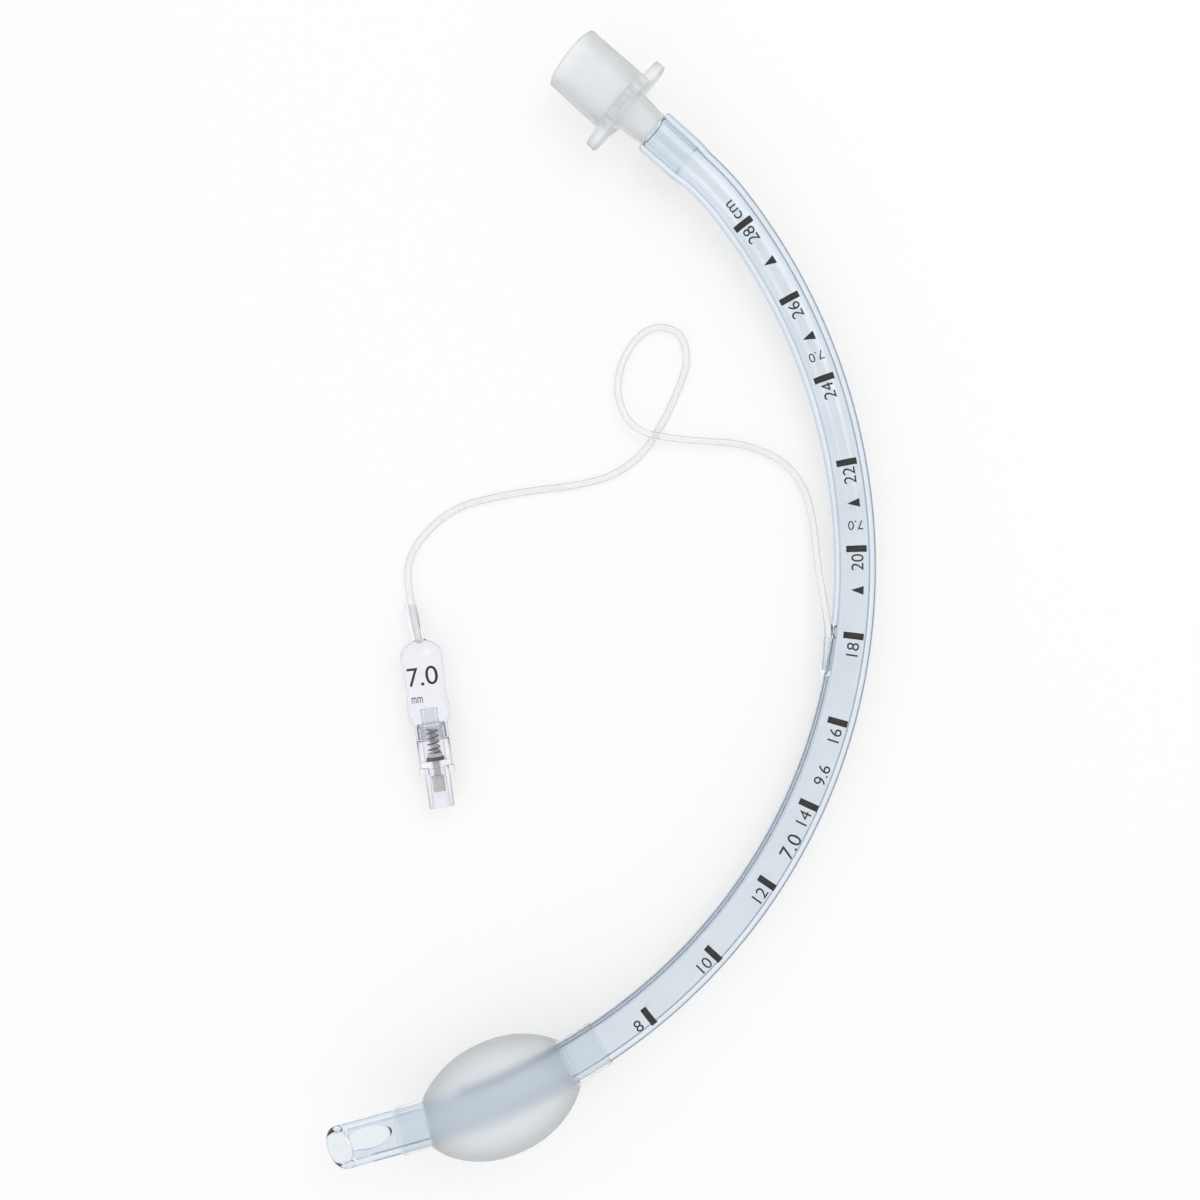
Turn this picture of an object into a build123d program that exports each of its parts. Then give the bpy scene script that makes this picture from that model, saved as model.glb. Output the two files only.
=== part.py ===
"""A cuffed endotracheal tube lying on a table, with its pilot balloon and valve.

The tube is drawn flat in its own plane, and that plane is tilted until the cuff, the connector's flange and the
middle of the tube touch the table. Lengths are in millimetres. +X points right, +Y points away from the tip end and
+Z points up. The origin lies on the table under the middle of the tube's outline.
"""
import os
from math import cos, radians, sin, sqrt, tan

from build123d import *

os.makedirs("parts", exist_ok=True)

# Airway tube: one extrusion, from the bevelled tip to the end that holds the connector
tube_outer = 9.6
tube_bore = 7.0

# The tube's centre line: straight at the tip, four arcs to the left and straight in the stretched end
tip_x_offset = -62.1
tip_y_offset = -123.3
tip_heading = 13.8
tip_straight_length = 20.9
cuff_bend_radius = 140.0
cuff_bend_turn = 21.0
lower_bend_radius = 126.5
lower_bend_turn = 43.4
upper_bend_radius = 133.0
upper_bend_turn = 50.0
machine_bend_radius = 62.0
machine_bend_turn = 11.0
machine_straight_length = 13.2
belly_share = 0.68

# Tip: the bevel faces up and a little to the concave side, and the side eye is in the opposite wall
tip_turn = -8.0
bevel_angle = 50.7
eye_length = 9.9
eye_width = 5.4
eye_centre = 9.9

# Inflation channel in the wall on the concave side, its port in the cuff and its pocket for the line
channel_bore = 0.8
port_centre = 32.5
port_length = 2.6
port_width = 1.2
pocket_start = 169.0
pocket_end = 178.1
pocket_outer = 2.6
pocket_offset = 4.9
notch_length = 3.2
notch_depth = 1.1
notch_height = 2.2

# Inflation line: a free, limp tube
line_outer = 1.6
line_clearance = 0.03
crossing_clearance = 3.0

# Connector: cone for the circuit, fluted flange with two ears, and the barrel inside the tube
cone_mouth_outer = 15.1
cone_flange_outer = 15.5
cone_mouth_bore = 12.7
cone_throat_bore = 12.2
cone_length = 15.2
throat_length = 3.0
flange_thickness = 2.4
flange_outer = 16.4
flute_count = 16
flute_width = 2.2
flute_depth = 0.55
ear_span = 25.0
ear_width = 7.6
barrel_flange_outer = 9.2
barrel_waist_outer = 8.1
barrel_end_outer = 7.7
barrel_bore = 6.0
barrel_open_length = 7.4
barrel_seat_length = 10.2
barrel_root_fillet = 0.8

# Stretched end of the tube over the barrel
socket_outer = 10.5
socket_shoulder = 3.0
socket_draft = 0.1

# Cuff: inflated, with a collar at each end
cuff_start = 17.2
distal_collar_length = 6.7
cuff_length = 34.6
proximal_collar_length = 8.1
collar_outer = 10.5
cuff_outer = 25.2
swell_flatness = 2.2
swell_roundness = 0.75
cuff_wall = 0.3

# Pilot balloon: a flattened sleeve with a waist, a collar on the valve and a narrow neck for the line
balloon_width = 9.9
balloon_waist = 9.0
balloon_height = 7.6
balloon_length = 20.0
balloon_wall = 0.4
waist_share = 0.42
waist_pinch = 0.25
balloon_collar_length = 3.2
neck_outer = 2.8
neck_length = 9.2
neck_heading = 104.9
neck_drop = 12.2
shoulder_length = 3.8
end_taper_length = 2.8

# Valve body: a luer socket with two lugs, a seat and a spring chamber
valve_mouth = (-36.6, -47.8)
valve_heading = 97.9
luer_outer = 5.8
luer_mouth_bore = 4.3
luer_taper = 0.06
luer_taper_length = 7.5
luer_length = 9.3
lug_span = 8.3
lug_width = 2.4
lug_thickness = 1.5
lug_corner = 0.3
barrel_outer = 7.6
barrel_length = 9.6
seat_thickness = 1.5
seat_bore = 2.4
chamber_bore = 5.2

# Valve cap: a plug in the chamber, a flange on the barrel and a nozzle inside the balloon
cap_fit = 0.05
cap_plug_length = 3.1
cap_plug_bore = 3.9
cap_floor = 0.6
cap_flange_outer = 6.5
cap_flange_thickness = 0.6
nozzle_outer = 3.9
nozzle_length = 3.4
nozzle_bore = 2.2

# Plunger, its rubber seal and the spring
stem_outer = 1.6
stem_inset = 0.2
piston_outer = 2.8
piston_length = 3.3
piston_rim_outer = 3.1
piston_rim_length = 0.4
piston_recess = 3.7
seal_outer = 4.2
seal_thickness = 0.7
spring_flange_outer = 3.4
spring_flange_thickness = 0.9
spring_outer = 3.0
spring_wire = 0.36
spring_turns = 5.0


def rest_plane(supports):
    """The plane in which the flat drawing lies once three of its points stand at their own heights.

    Each support is (x, y, height). The plane's X direction has no sideways part, so the drawing isn't turned.
    """
    first, second, third = (Vector(*support) for support in supports)
    across = (second - first).cross(third - first)
    rise_x = -across.X / across.Z
    rise_y = -across.Y / across.Z
    height = first.Z - rise_x * first.X - rise_y * first.Y
    run_x = sqrt(1 - rise_x**2)
    level = sqrt(1 - rise_x**2 - rise_y**2)
    return Plane(
        origin=(0, 0, height),
        x_dir=(run_x, 0, rise_x),
        z_dir=(-level * rise_x / run_x, -rise_y / run_x, level),
    )


def draw_airway(plane):
    """The tube's centre line: straight at the tip, four tangent arcs, straight in the stretched end."""
    with BuildLine(plane) as line:
        piece = PolarLine((tip_x_offset, tip_y_offset), tip_straight_length, tip_heading)
        for radius, turn in (
            (cuff_bend_radius, cuff_bend_turn),
            (lower_bend_radius, lower_bend_turn),
            (upper_bend_radius, upper_bend_turn),
            (machine_bend_radius, machine_bend_turn),
        ):
            piece = JernArc(piece @ 1, piece % 1, radius, turn)
        end = piece @ 1
        Line(end, end + (piece % 1) * machine_straight_length)
    return line.wire()


def point_on(wire, distance):
    return wire.position_at(distance, PositionMode.LENGTH)


# Rest: the flat drawing gives the supports' places, and the pieces' radii give their heights
flat_airway = draw_airway(Plane.XY)
tube_length = flat_airway.length
cuff_swell_start = cuff_start + distal_collar_length
cuff_swell_end = cuff_swell_start + cuff_length
flange_middle = tube_length + barrel_open_length + flange_thickness / 2
end_direction = flat_airway.tangent_at(1)
cuff_point = point_on(flat_airway, (cuff_swell_start + cuff_swell_end) / 2)
flange_point = flat_airway.position_at(1) + end_direction * (flange_middle - tube_length)
belly_point = point_on(flat_airway, belly_share * tube_length)
tube_plane = rest_plane(
    [
        (cuff_point.X, cuff_point.Y, cuff_outer / 2),
        (flange_point.X, flange_point.Y, flange_outer / 2),
        (belly_point.X, belly_point.Y, tube_outer / 2),
    ]
)
airway = draw_airway(tube_plane)


def section_at(distance):
    """The plane across the tube: +X up, +Y to the convex side, +Z towards the connector."""
    return Plane(
        origin=point_on(airway, distance),
        x_dir=tube_plane.z_dir,
        z_dir=airway.tangent_at(distance, PositionMode.LENGTH),
    )


def stretch(start, end):
    """The centre line from one distance to another."""
    return airway.trim(start / tube_length, end / tube_length)


def around(direction_turn, distance):
    """The direction across the tube, turned from straight up to the convex side by an angle in degrees."""
    section = section_at(distance)
    return section.x_dir * cos(radians(direction_turn)) + section.y_dir * sin(radians(direction_turn))


# The machine end's own axis carries the connector
machine_end = airway.position_at(1)
machine_direction = airway.tangent_at(1)
machine_axis = Axis(machine_end, machine_direction)
machine_side = Plane(origin=machine_end, x_dir=machine_direction, z_dir=tube_plane.z_dir)
flange_back = Plane(
    origin=machine_end + machine_direction * barrel_open_length,
    x_dir=tube_plane.z_dir,
    z_dir=machine_direction,
)

bevel_length = tube_outer / tan(radians(bevel_angle))
bevel_middle = point_on(airway, bevel_length / 2)
bevel_normal = around(tip_turn, bevel_length / 2) * cos(radians(bevel_angle)) - airway.tangent_at(0) * sin(
    radians(bevel_angle)
)
channel_offset = (tube_outer + tube_bore) / 4
sleeve_wall = (tube_outer - tube_bore) / 2

with BuildPart() as main_tube:
    # The whole outside: plain tube, stretched end and pocket
    with BuildSketch(section_at(0)):
        Circle(tube_outer / 2)
    sweep(path=stretch(0, tube_length - machine_straight_length))
    with BuildSketch(machine_side):
        with BuildLine():
            Polyline(
                (-machine_straight_length, 0),
                (-machine_straight_length, tube_outer / 2),
                (-barrel_seat_length, socket_outer / 2 - socket_draft),
                (-barrel_seat_length + socket_shoulder / 2, socket_outer / 2),
                (0, socket_outer / 2),
                (0, 0),
                close=True,
            )
        make_face()
    revolve(axis=machine_axis)
    with BuildSketch(section_at(pocket_start)):
        with Locations((0, -pocket_offset)):
            Circle(pocket_outer / 2)
    sweep(path=stretch(pocket_start, pocket_end))

    # The bore, and the seat that the barrel has stretched
    with BuildSketch(section_at(0)):
        Circle(tube_bore / 2)
    sweep(path=stretch(0, tube_length - machine_straight_length), mode=Mode.SUBTRACT)
    with BuildSketch(machine_side):
        with BuildLine():
            Polyline(
                (-machine_straight_length, 0),
                (-machine_straight_length, tube_bore / 2),
                (-barrel_seat_length, barrel_end_outer / 2),
                (0, barrel_waist_outer / 2),
                (0, 0),
                close=True,
            )
        make_face()
    revolve(axis=machine_axis, mode=Mode.SUBTRACT)

    # The inflation channel, its port under the cuff, the pocket's bore and the notch at its mouth
    with BuildSketch(section_at(port_centre)):
        with Locations((0, -channel_offset)):
            Circle(channel_bore / 2)
    sweep(path=stretch(port_centre, pocket_start), mode=Mode.SUBTRACT)
    port_section = section_at(port_centre)
    with BuildSketch(
        Plane(
            origin=port_section.origin - port_section.y_dir * channel_offset,
            x_dir=port_section.z_dir,
            z_dir=-port_section.y_dir,
        )
    ):
        SlotOverall(port_length, port_width)
    extrude(amount=sleeve_wall, mode=Mode.SUBTRACT)
    with BuildSketch(section_at(pocket_start + sleeve_wall / 2)):
        with Locations((0, -pocket_offset)):
            Circle(line_outer / 2 + line_clearance)
    sweep(path=stretch(pocket_start + sleeve_wall / 2, pocket_end), mode=Mode.SUBTRACT)
    notch_section = section_at(pocket_end + notch_length / 2)
    with BuildSketch(
        Plane(
            origin=notch_section.origin - notch_section.y_dir * tube_outer / 2,
            x_dir=notch_section.z_dir,
            z_dir=tube_plane.z_dir,
        )
    ):
        Ellipse(notch_length / 2, notch_depth)
    extrude(amount=notch_height / 2, both=True, mode=Mode.SUBTRACT)

    # The bevel, and the side eye through the wall opposite it
    split(bisect_by=Plane(origin=bevel_middle, z_dir=bevel_normal), keep=Keep.BOTTOM)
    with BuildSketch(
        Plane(
            origin=point_on(airway, eye_centre),
            x_dir=airway.tangent_at(eye_centre, PositionMode.LENGTH),
            z_dir=-around(tip_turn, eye_centre),
        )
    ):
        Ellipse(eye_length / 2, eye_width / 2)
    extrude(amount=tube_outer, mode=Mode.SUBTRACT)

with BuildPart() as connector:
    # Fluted flange with its two ears
    with BuildSketch(flange_back):
        Circle(flange_outer / 2)
        with PolarLocations(flange_outer / 2 - flute_depth + flute_width / 2, flute_count, 360 / flute_count / 2):
            Circle(flute_width / 2, mode=Mode.SUBTRACT)
        SlotOverall(ear_span, ear_width, rotation=90)
    extrude(amount=flange_thickness)

    # Cone and barrel as one turned form
    with BuildSketch(machine_side):
        with BuildLine():
            Polyline(
                (-barrel_seat_length, 0),
                (-barrel_seat_length, barrel_end_outer / 2),
                (0, barrel_waist_outer / 2),
                (barrel_open_length, barrel_flange_outer / 2),
                (barrel_open_length + flange_thickness, barrel_flange_outer / 2),
                (barrel_open_length + flange_thickness, cone_flange_outer / 2),
                (barrel_open_length + flange_thickness + cone_length, cone_mouth_outer / 2),
                (barrel_open_length + flange_thickness + cone_length, 0),
                close=True,
            )
        make_face()
    revolve(axis=machine_axis)
    flange_back_face = faces().filter_by(GeomType.PLANE).sort_by(machine_axis)[1]
    fillet(flange_back_face.inner_wires().edges(), barrel_root_fillet)

    # Bore: straight in the barrel, stepped out to the cone
    with BuildSketch(machine_side):
        with BuildLine():
            Polyline(
                (-barrel_seat_length, 0),
                (-barrel_seat_length, barrel_bore / 2),
                (barrel_open_length, barrel_bore / 2),
                (barrel_open_length + throat_length, cone_throat_bore / 2),
                (barrel_open_length + flange_thickness + cone_length, cone_mouth_bore / 2),
                (barrel_open_length + flange_thickness + cone_length, 0),
                close=True,
            )
        make_face()
    revolve(axis=machine_axis, mode=Mode.SUBTRACT)


def cuff_radius(share):
    """Radius of the swell at a share of its length from -1 to 1: collar plus a rounded barrel."""
    return collar_outer / 2 + (cuff_outer - collar_outer) / 2 * (1 - abs(share) ** swell_flatness) ** swell_roundness


cuff_shares = [-1, -0.97, -0.9, -0.75, -0.5, -0.2, 0.2, 0.5, 0.75, 0.9, 0.97, 1]


def cuff_sections(inset):
    """Circles of the swell on the curved centre line, drawn in by the wall."""
    middle = (cuff_swell_start + cuff_swell_end) / 2
    sections = []
    for share in cuff_shares:
        with BuildSketch(section_at(middle + share * cuff_length / 2)) as section:
            Circle(cuff_radius(share) - inset)
        sections.append(section.sketch.face())
    return sections


with BuildPart() as cuff:
    loft(cuff_sections(0))
    for start, length in (
        (cuff_start, distal_collar_length),
        (cuff_swell_end, proximal_collar_length),
    ):
        with BuildSketch(section_at(start)):
            Circle(collar_outer / 2)
        sweep(path=stretch(start, start + length))
    loft(cuff_sections(cuff_wall), mode=Mode.SUBTRACT)
    with BuildSketch(section_at(cuff_start)):
        Circle(tube_outer / 2)
    sweep(path=stretch(cuff_start, cuff_swell_end + proximal_collar_length), mode=Mode.SUBTRACT)

# Valve axis, level above the table by the balloon collar's radius
collar_radius = barrel_outer / 2
valve_direction = Vector(cos(radians(valve_heading)), sin(radians(valve_heading)), 0)
valve_start = Vector(valve_mouth[0], valve_mouth[1], collar_radius)
valve_axis = Axis(valve_start, valve_direction)
valve_side = Plane(origin=valve_start, x_dir=valve_direction, z_dir=(0, 0, 1))
barrel_top = luer_length + barrel_length
seat_face = luer_length + seat_thickness
seal_face = seat_face + seal_thickness
spring_bottom = seal_face + spring_flange_thickness
spring_top = barrel_top - cap_floor
cap_flange_top = barrel_top + cap_flange_thickness
neck_radius = collar_radius - balloon_wall


def valve_section(distance):
    """The plane across the valve: +X up, +Z towards the balloon."""
    return Plane(origin=valve_start + valve_direction * distance, x_dir=(0, 0, 1), z_dir=valve_direction)


def turned(points, mode=Mode.ADD):
    """A turned form on the valve's axis, from points of (distance, radius)."""
    with BuildSketch(valve_side) as profile:
        with BuildLine():
            Polyline(*points, close=True)
        make_face()
    revolve(profile.sketch, axis=valve_axis, mode=mode)


luer_floor_bore = luer_mouth_bore - luer_taper * luer_taper_length

with BuildPart() as valve_body:
    turned(
        [
            (0, 0),
            (0, luer_outer / 2),
            (luer_length, luer_outer / 2),
            (luer_length, collar_radius),
            (barrel_top - balloon_collar_length, collar_radius),
            (barrel_top - balloon_collar_length, neck_radius),
            (barrel_top, neck_radius),
            (barrel_top, 0),
        ]
    )
    with BuildSketch(valve_section(luer_length - lug_thickness)):
        RectangleRounded(lug_width, lug_span, lug_corner)
    extrude(amount=lug_thickness)
    turned(
        [
            (0, 0),
            (0, luer_mouth_bore / 2),
            (luer_taper_length, luer_floor_bore / 2),
            (luer_length, luer_floor_bore / 2),
            (luer_length, seat_bore / 2),
            (seat_face, seat_bore / 2),
            (seat_face, chamber_bore / 2),
            (barrel_top, chamber_bore / 2),
            (barrel_top, 0),
        ],
        mode=Mode.SUBTRACT,
    )

with BuildPart() as valve_cap:
    turned(
        [
            (barrel_top - cap_plug_length, 0),
            (barrel_top - cap_plug_length, chamber_bore / 2 - cap_fit),
            (barrel_top, chamber_bore / 2 - cap_fit),
            (barrel_top, cap_flange_outer / 2),
            (cap_flange_top, cap_flange_outer / 2),
            (cap_flange_top, nozzle_outer / 2),
            (cap_flange_top + nozzle_length, nozzle_outer / 2),
            (cap_flange_top + nozzle_length, 0),
        ]
    )
    turned(
        [
            (barrel_top - cap_plug_length, 0),
            (barrel_top - cap_plug_length, cap_plug_bore / 2),
            (spring_top, cap_plug_bore / 2),
            (spring_top, nozzle_bore / 2),
            (cap_flange_top + nozzle_length, nozzle_bore / 2),
            (cap_flange_top + nozzle_length, 0),
        ],
        mode=Mode.SUBTRACT,
    )

with BuildPart() as valve_plunger:
    turned(
        [
            (piston_recess, 0),
            (piston_recess, piston_outer / 2),
            (piston_recess + piston_length, piston_outer / 2),
            (piston_recess + piston_length, piston_rim_outer / 2),
            (piston_recess + piston_length + piston_rim_length, piston_rim_outer / 2),
            (piston_recess + piston_length + piston_rim_length, stem_outer / 2),
            (seal_face, stem_outer / 2),
            (seal_face, spring_flange_outer / 2),
            (spring_bottom, spring_flange_outer / 2),
            (spring_bottom, stem_outer / 2),
            (spring_top - stem_inset, stem_outer / 2),
            (spring_top - stem_inset, 0),
        ]
    )

with BuildPart() as valve_seal:
    with BuildSketch(valve_section(seat_face)):
        Circle(seal_outer / 2)
        Circle(stem_outer / 2, mode=Mode.SUBTRACT)
    extrude(amount=seal_thickness)

spring_height = spring_top - spring_bottom - spring_wire
with BuildPart() as valve_spring:
    with BuildLine() as coil:
        Helix(
            pitch=spring_height / spring_turns,
            height=spring_height,
            radius=(spring_outer - spring_wire) / 2,
            center=valve_start + valve_direction * (spring_bottom + spring_wire / 2),
            direction=valve_direction,
        )
    with BuildSketch(Plane(origin=coil.wire() @ 0, z_dir=coil.wire() % 0)):
        Circle(spring_wire / 2)
    sweep(path=coil.wire(), is_frenet=True)

# Pilot balloon: half widths and half heights along the valve's axis, from the collar to the neck
balloon_end = barrel_top + balloon_length
balloon_outline = [
    (barrel_top, collar_radius, collar_radius),
    (barrel_top + end_taper_length / 2, (collar_radius + balloon_width) / 3, collar_radius),
    (barrel_top + end_taper_length, balloon_width / 2, collar_radius),
    (barrel_top + balloon_length * waist_share, balloon_waist / 2, balloon_height / 2 - waist_pinch),
]
for share in (0, 1 / 2, 5 / 6):
    rounding = sqrt(1 - share**2)
    balloon_outline.append(
        (
            balloon_end - shoulder_length * (1 - share),
            balloon_width / 2 * rounding,
            balloon_height / 2 * rounding,
        )
    )
balloon_outline.append((balloon_end, neck_outer / 2, neck_outer / 2))
neck_direction = Vector(
    cos(radians(neck_heading)) * cos(radians(neck_drop)),
    sin(radians(neck_heading)) * cos(radians(neck_drop)),
    -sin(radians(neck_drop)),
)
neck_root = valve_start + valve_direction * (balloon_end - neck_outer / 4)
neck_mouth = neck_root + neck_direction * neck_length
neck_plane = Plane(origin=neck_root, z_dir=neck_direction)


def balloon_sections(inset):
    """Ellipses of the balloon, drawn in by the wall."""
    sections = []
    for distance, half_width, half_height in balloon_outline:
        with BuildSketch(valve_section(distance)) as section:
            Ellipse(half_height - inset, half_width - inset)
        sections.append(section.sketch.face())
    return sections


with BuildPart() as pilot_balloon:
    loft(balloon_sections(0))
    with BuildSketch(valve_section(barrel_top - balloon_collar_length)):
        Circle(collar_radius)
    extrude(amount=balloon_collar_length)
    with BuildSketch(neck_plane):
        Circle(neck_outer / 2)
    extrude(amount=neck_length)
    loft(balloon_sections(balloon_wall), mode=Mode.SUBTRACT)
    with BuildSketch(valve_section(barrel_top - balloon_collar_length)):
        Circle(neck_radius)
    extrude(amount=balloon_collar_length, mode=Mode.SUBTRACT)
    with BuildSketch(neck_plane):
        Circle(line_outer / 2 + line_clearance)
    extrude(amount=neck_length, mode=Mode.SUBTRACT)

# Inflation line: from the pocket's floor, down to the table, round its loop, over itself and into the neck
pocket_floor_section = section_at(pocket_start + sleeve_wall / 2)
pocket_mouth_section = section_at(pocket_end)
line_start = pocket_floor_section.origin - pocket_floor_section.y_dir * pocket_offset
line_exit = pocket_mouth_section.origin - pocket_mouth_section.y_dir * pocket_offset
lying = line_outer / 2
crossing = lying + line_outer + crossing_clearance
line_points = [
    line_start,
    line_exit,
    (52.0, -1.0, 4.6),
    (50.5, 8.0, 3.2),
    (50.0, 17.0, 1.8),
    (48.0, 26.5, lying),
    (42.5, 33.0, lying),
    (33.5, 36.5, 1.2),
    (25.0, 37.0, 3.4),
    (16.5, 37.5, crossing),
    (7.5, 39.5, crossing),
    (3.5, 48.0, 3.2),
    (5.5, 57.5, 1.2),
    (11.5, 64.5, lying),
    (19.0, 63.5, lying),
    (21.2, 56.5, lying),
    (18.5, 50.0, lying),
    (15.0, 42.5, lying),
    (10.0, 34.5, lying),
    (3.5, 29.5, lying),
    (-5.0, 27.0, lying),
    (-14.5, 26.0, lying),
    (-23.5, 24.5, lying),
    (-32.5, 22.5, lying),
    (-39.5, 17.5, lying),
    (-45.0, 9.5, 1.2),
    neck_mouth,
    neck_root,
]


def corner_radii(points):
    """Each corner's arc: 0.45 of its shorter run, divided by the tangent of half its turn."""
    radii = []
    for before, corner, after in zip(points, points[1:], points[2:]):
        run_in = Vector(*corner) - Vector(*before)
        run_out = Vector(*after) - Vector(*corner)
        turn = run_in.get_angle(run_out)
        radii.append(0.45 * min(run_in.length, run_out.length) / tan(radians(turn) / 2))
    return radii


line_points = [tuple(Vector(point)) for point in line_points]
line_radii = corner_radii(line_points)
with BuildPart() as inflation_line:
    with BuildLine() as route:
        FilletPolyline(*line_points, radius=line_radii)
    with BuildSketch(Plane(origin=route.wire() @ 0, z_dir=route.wire() % 0)):
        Circle(line_outer / 2)
    sweep(path=route.wire())

pieces = {
    "main_tube": main_tube,
    "connector": connector,
    "cuff": cuff,
    "inflation_line": inflation_line,
    "pilot_balloon": pilot_balloon,
    "valve_body": valve_body,
    "valve_cap": valve_cap,
    "valve_plunger": valve_plunger,
    "valve_seal": valve_seal,
    "valve_spring": valve_spring,
}
for label, piece in pieces.items():
    piece.part.label = label
    export_step(piece.part, f"parts/{label}.step")

print("tube length", round(tube_length, 2), "plane", tube_plane.origin, tube_plane.z_dir)
print("line length", round(route.wire().length, 1), "smallest bend", round(min(line_radii), 1))
print("line bends", [round(radius, 1) for radius in line_radii])
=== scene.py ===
"""Looks of a cuffed endotracheal tube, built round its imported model.

Lengths are in metres and angles in degrees, unless a note says otherwise. The tube's surfaces are carried
along its centre line, and the valve's are turned round its own level axis. Every new piece stands where the
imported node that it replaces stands.
"""
from math import cos, radians, sin, sqrt, tan

import bmesh
import bpy
import numpy as np
from bpy.props import FloatProperty, FloatVectorProperty, IntProperty, PointerProperty
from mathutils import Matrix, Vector


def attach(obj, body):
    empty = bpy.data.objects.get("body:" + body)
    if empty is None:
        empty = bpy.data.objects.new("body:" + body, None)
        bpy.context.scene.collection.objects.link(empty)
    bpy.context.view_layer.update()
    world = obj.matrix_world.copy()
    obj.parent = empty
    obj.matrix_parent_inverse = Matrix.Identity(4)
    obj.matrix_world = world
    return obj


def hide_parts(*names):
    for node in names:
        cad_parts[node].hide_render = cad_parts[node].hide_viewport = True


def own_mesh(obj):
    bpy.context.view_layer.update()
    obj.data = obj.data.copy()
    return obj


bl_info = {
    "name": "Cuffed airway tube",
    "version": (1, 0, 0),
    "blender": (4, 5, 0),
    "location": "View3D > Sidebar > Airway tube",
    "description": "Builds the looks of a cuffed endotracheal tube with its pilot balloon and valve",
    "category": "Object",
}

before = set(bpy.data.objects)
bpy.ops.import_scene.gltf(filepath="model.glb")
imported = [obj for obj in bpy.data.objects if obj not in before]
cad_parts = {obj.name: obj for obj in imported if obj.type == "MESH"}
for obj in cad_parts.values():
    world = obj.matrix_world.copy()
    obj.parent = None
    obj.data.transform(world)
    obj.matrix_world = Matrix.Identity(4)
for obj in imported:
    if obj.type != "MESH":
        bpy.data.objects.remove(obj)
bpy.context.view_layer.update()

MM = 0.001
SET_BODY = "tube_set"
PLUNGER_BODY = "plunger"

# Points round a ring, the gap between faces that would coincide, and the room round the line in a bore
AROUND = 120
GAP = 0.02 * MM
LINE_CLEARANCE = 0.03 * MM

# The centre line: straight at the tip, tangent arcs of (radius, turn), straight in the stretched end.
# The belly rests on the table at BELLY_SHARE of the tube's length.
TIP_START = (-62.1 * MM, -123.3 * MM)
TIP_HEADING = 13.8
TIP_STRAIGHT = 20.9 * MM
TUBE_BENDS = [(140.0 * MM, 21.0), (126.5 * MM, 43.4), (133.0 * MM, 50.0), (62.0 * MM, 11.0)]
MACHINE_STRAIGHT = 13.2 * MM
BELLY_SHARE = 0.68

# The tube's wall in the mesh: the slanted rows at the tip have evened out at EVEN_FROM
EVEN_FROM = 24 * MM
TIP_ROWS, LENGTH_ROWS, END_ROWS = 26, 290, 40
END_ROUND = 0.3 * MM
SOCKET_SLOPE = 1.5 * MM

# The valve lies level on the table, and its axis points from the socket to the balloon.
# The balloon's neck turns off that heading and drops to the table.
VALVE_MOUTH = (-36.6 * MM, -47.8 * MM)
VALVE_HEADING = 97.9
NECK_HEADING = 104.9
NECK_DROP = 12.2

# The inflation line's route between the pocket and the balloon's neck
LINE_ROUTE = [
    (0.0520, -0.0010, 0.0046),
    (0.0505, 0.0080, 0.0032),
    (0.0500, 0.0170, 0.0018),
    (0.0480, 0.0265, 0.0008),
    (0.0425, 0.0330, 0.0008),
    (0.0335, 0.0365, 0.0011),
    (0.0250, 0.0370, 0.0020),
    (0.0165, 0.0375, 0.0029),
    (0.0075, 0.0395, 0.0029),
    (0.0035, 0.0480, 0.0019),
    (0.0055, 0.0575, 0.0011),
    (0.0115, 0.0642, 0.0008),
    (0.0187, 0.0632, 0.0008),
    (0.0208, 0.0565, 0.0008),
    (0.0185, 0.0495, 0.0008),
    (0.0152, 0.0422, 0.0008),
    (0.0105, 0.0345, 0.0008),
    (0.0038, 0.0293, 0.0008),
    (-0.0050, 0.0268, 0.0008),
    (-0.0145, 0.0258, 0.0008),
    (-0.0235, 0.0243, 0.0008),
    (-0.0325, 0.0222, 0.0008),
    (-0.0396, 0.0173, 0.0008),
    (-0.0453, 0.0095, 0.0012),
]

# Marks beside the scale, in millimetres: places from the tip, or pairs of places from the tip and to the side
ARROW_PLACES = (189.7, 209.7, 249.2, 268.6)
SMALL_FIGURE_PLACES = (204.6, 244.5)
INSIDE_PLACE, OUTSIDE_PLACE, UNIT_PLACE = (129.0, 0.4), (146.6, 0.2), (283.0, 0.4)

# The two lines on the balloon, in millimetres: text, place along the valve's axis, place to the side, and the
# share of its natural width that the text keeps
BALLOON_LINES = (("7.0", 30.6, 0.0, 1.0), ("mm", 25.3, -1.9, 0.62))

# The two lamps' places, the width of each, and half the floor's width
KEY_PLACE, FILL_PLACE, LAMP_WIDTH = (0.35, 0.45, 0.8), (-0.4, -0.5, 0.6), 0.6
FLOOR_REACH = 3.0


def size(name, description, millimetres):
    """A length property, given in millimetres and kept in metres."""
    return FloatProperty(
        name=name, description=description, default=millimetres * MM, unit="LENGTH", precision=5
    )


def angle(name, description, degrees):
    """An angle property in plain degrees."""
    return FloatProperty(name=name, description=description, default=degrees, precision=2)


def count(name, description, number):
    """A whole number above nothing."""
    return IntProperty(name=name, description=description, default=number, min=1)


def share(name, description, value):
    """A plain number from nothing to one."""
    return FloatProperty(name=name, description=description, default=value, min=0.0, max=1.0, precision=3)


def colour(name, description, value):
    """A colour property in linear light."""
    return FloatVectorProperty(
        name=name, description=description, default=value, size=3, min=0.0, max=1.0, subtype="COLOR"
    )


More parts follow.
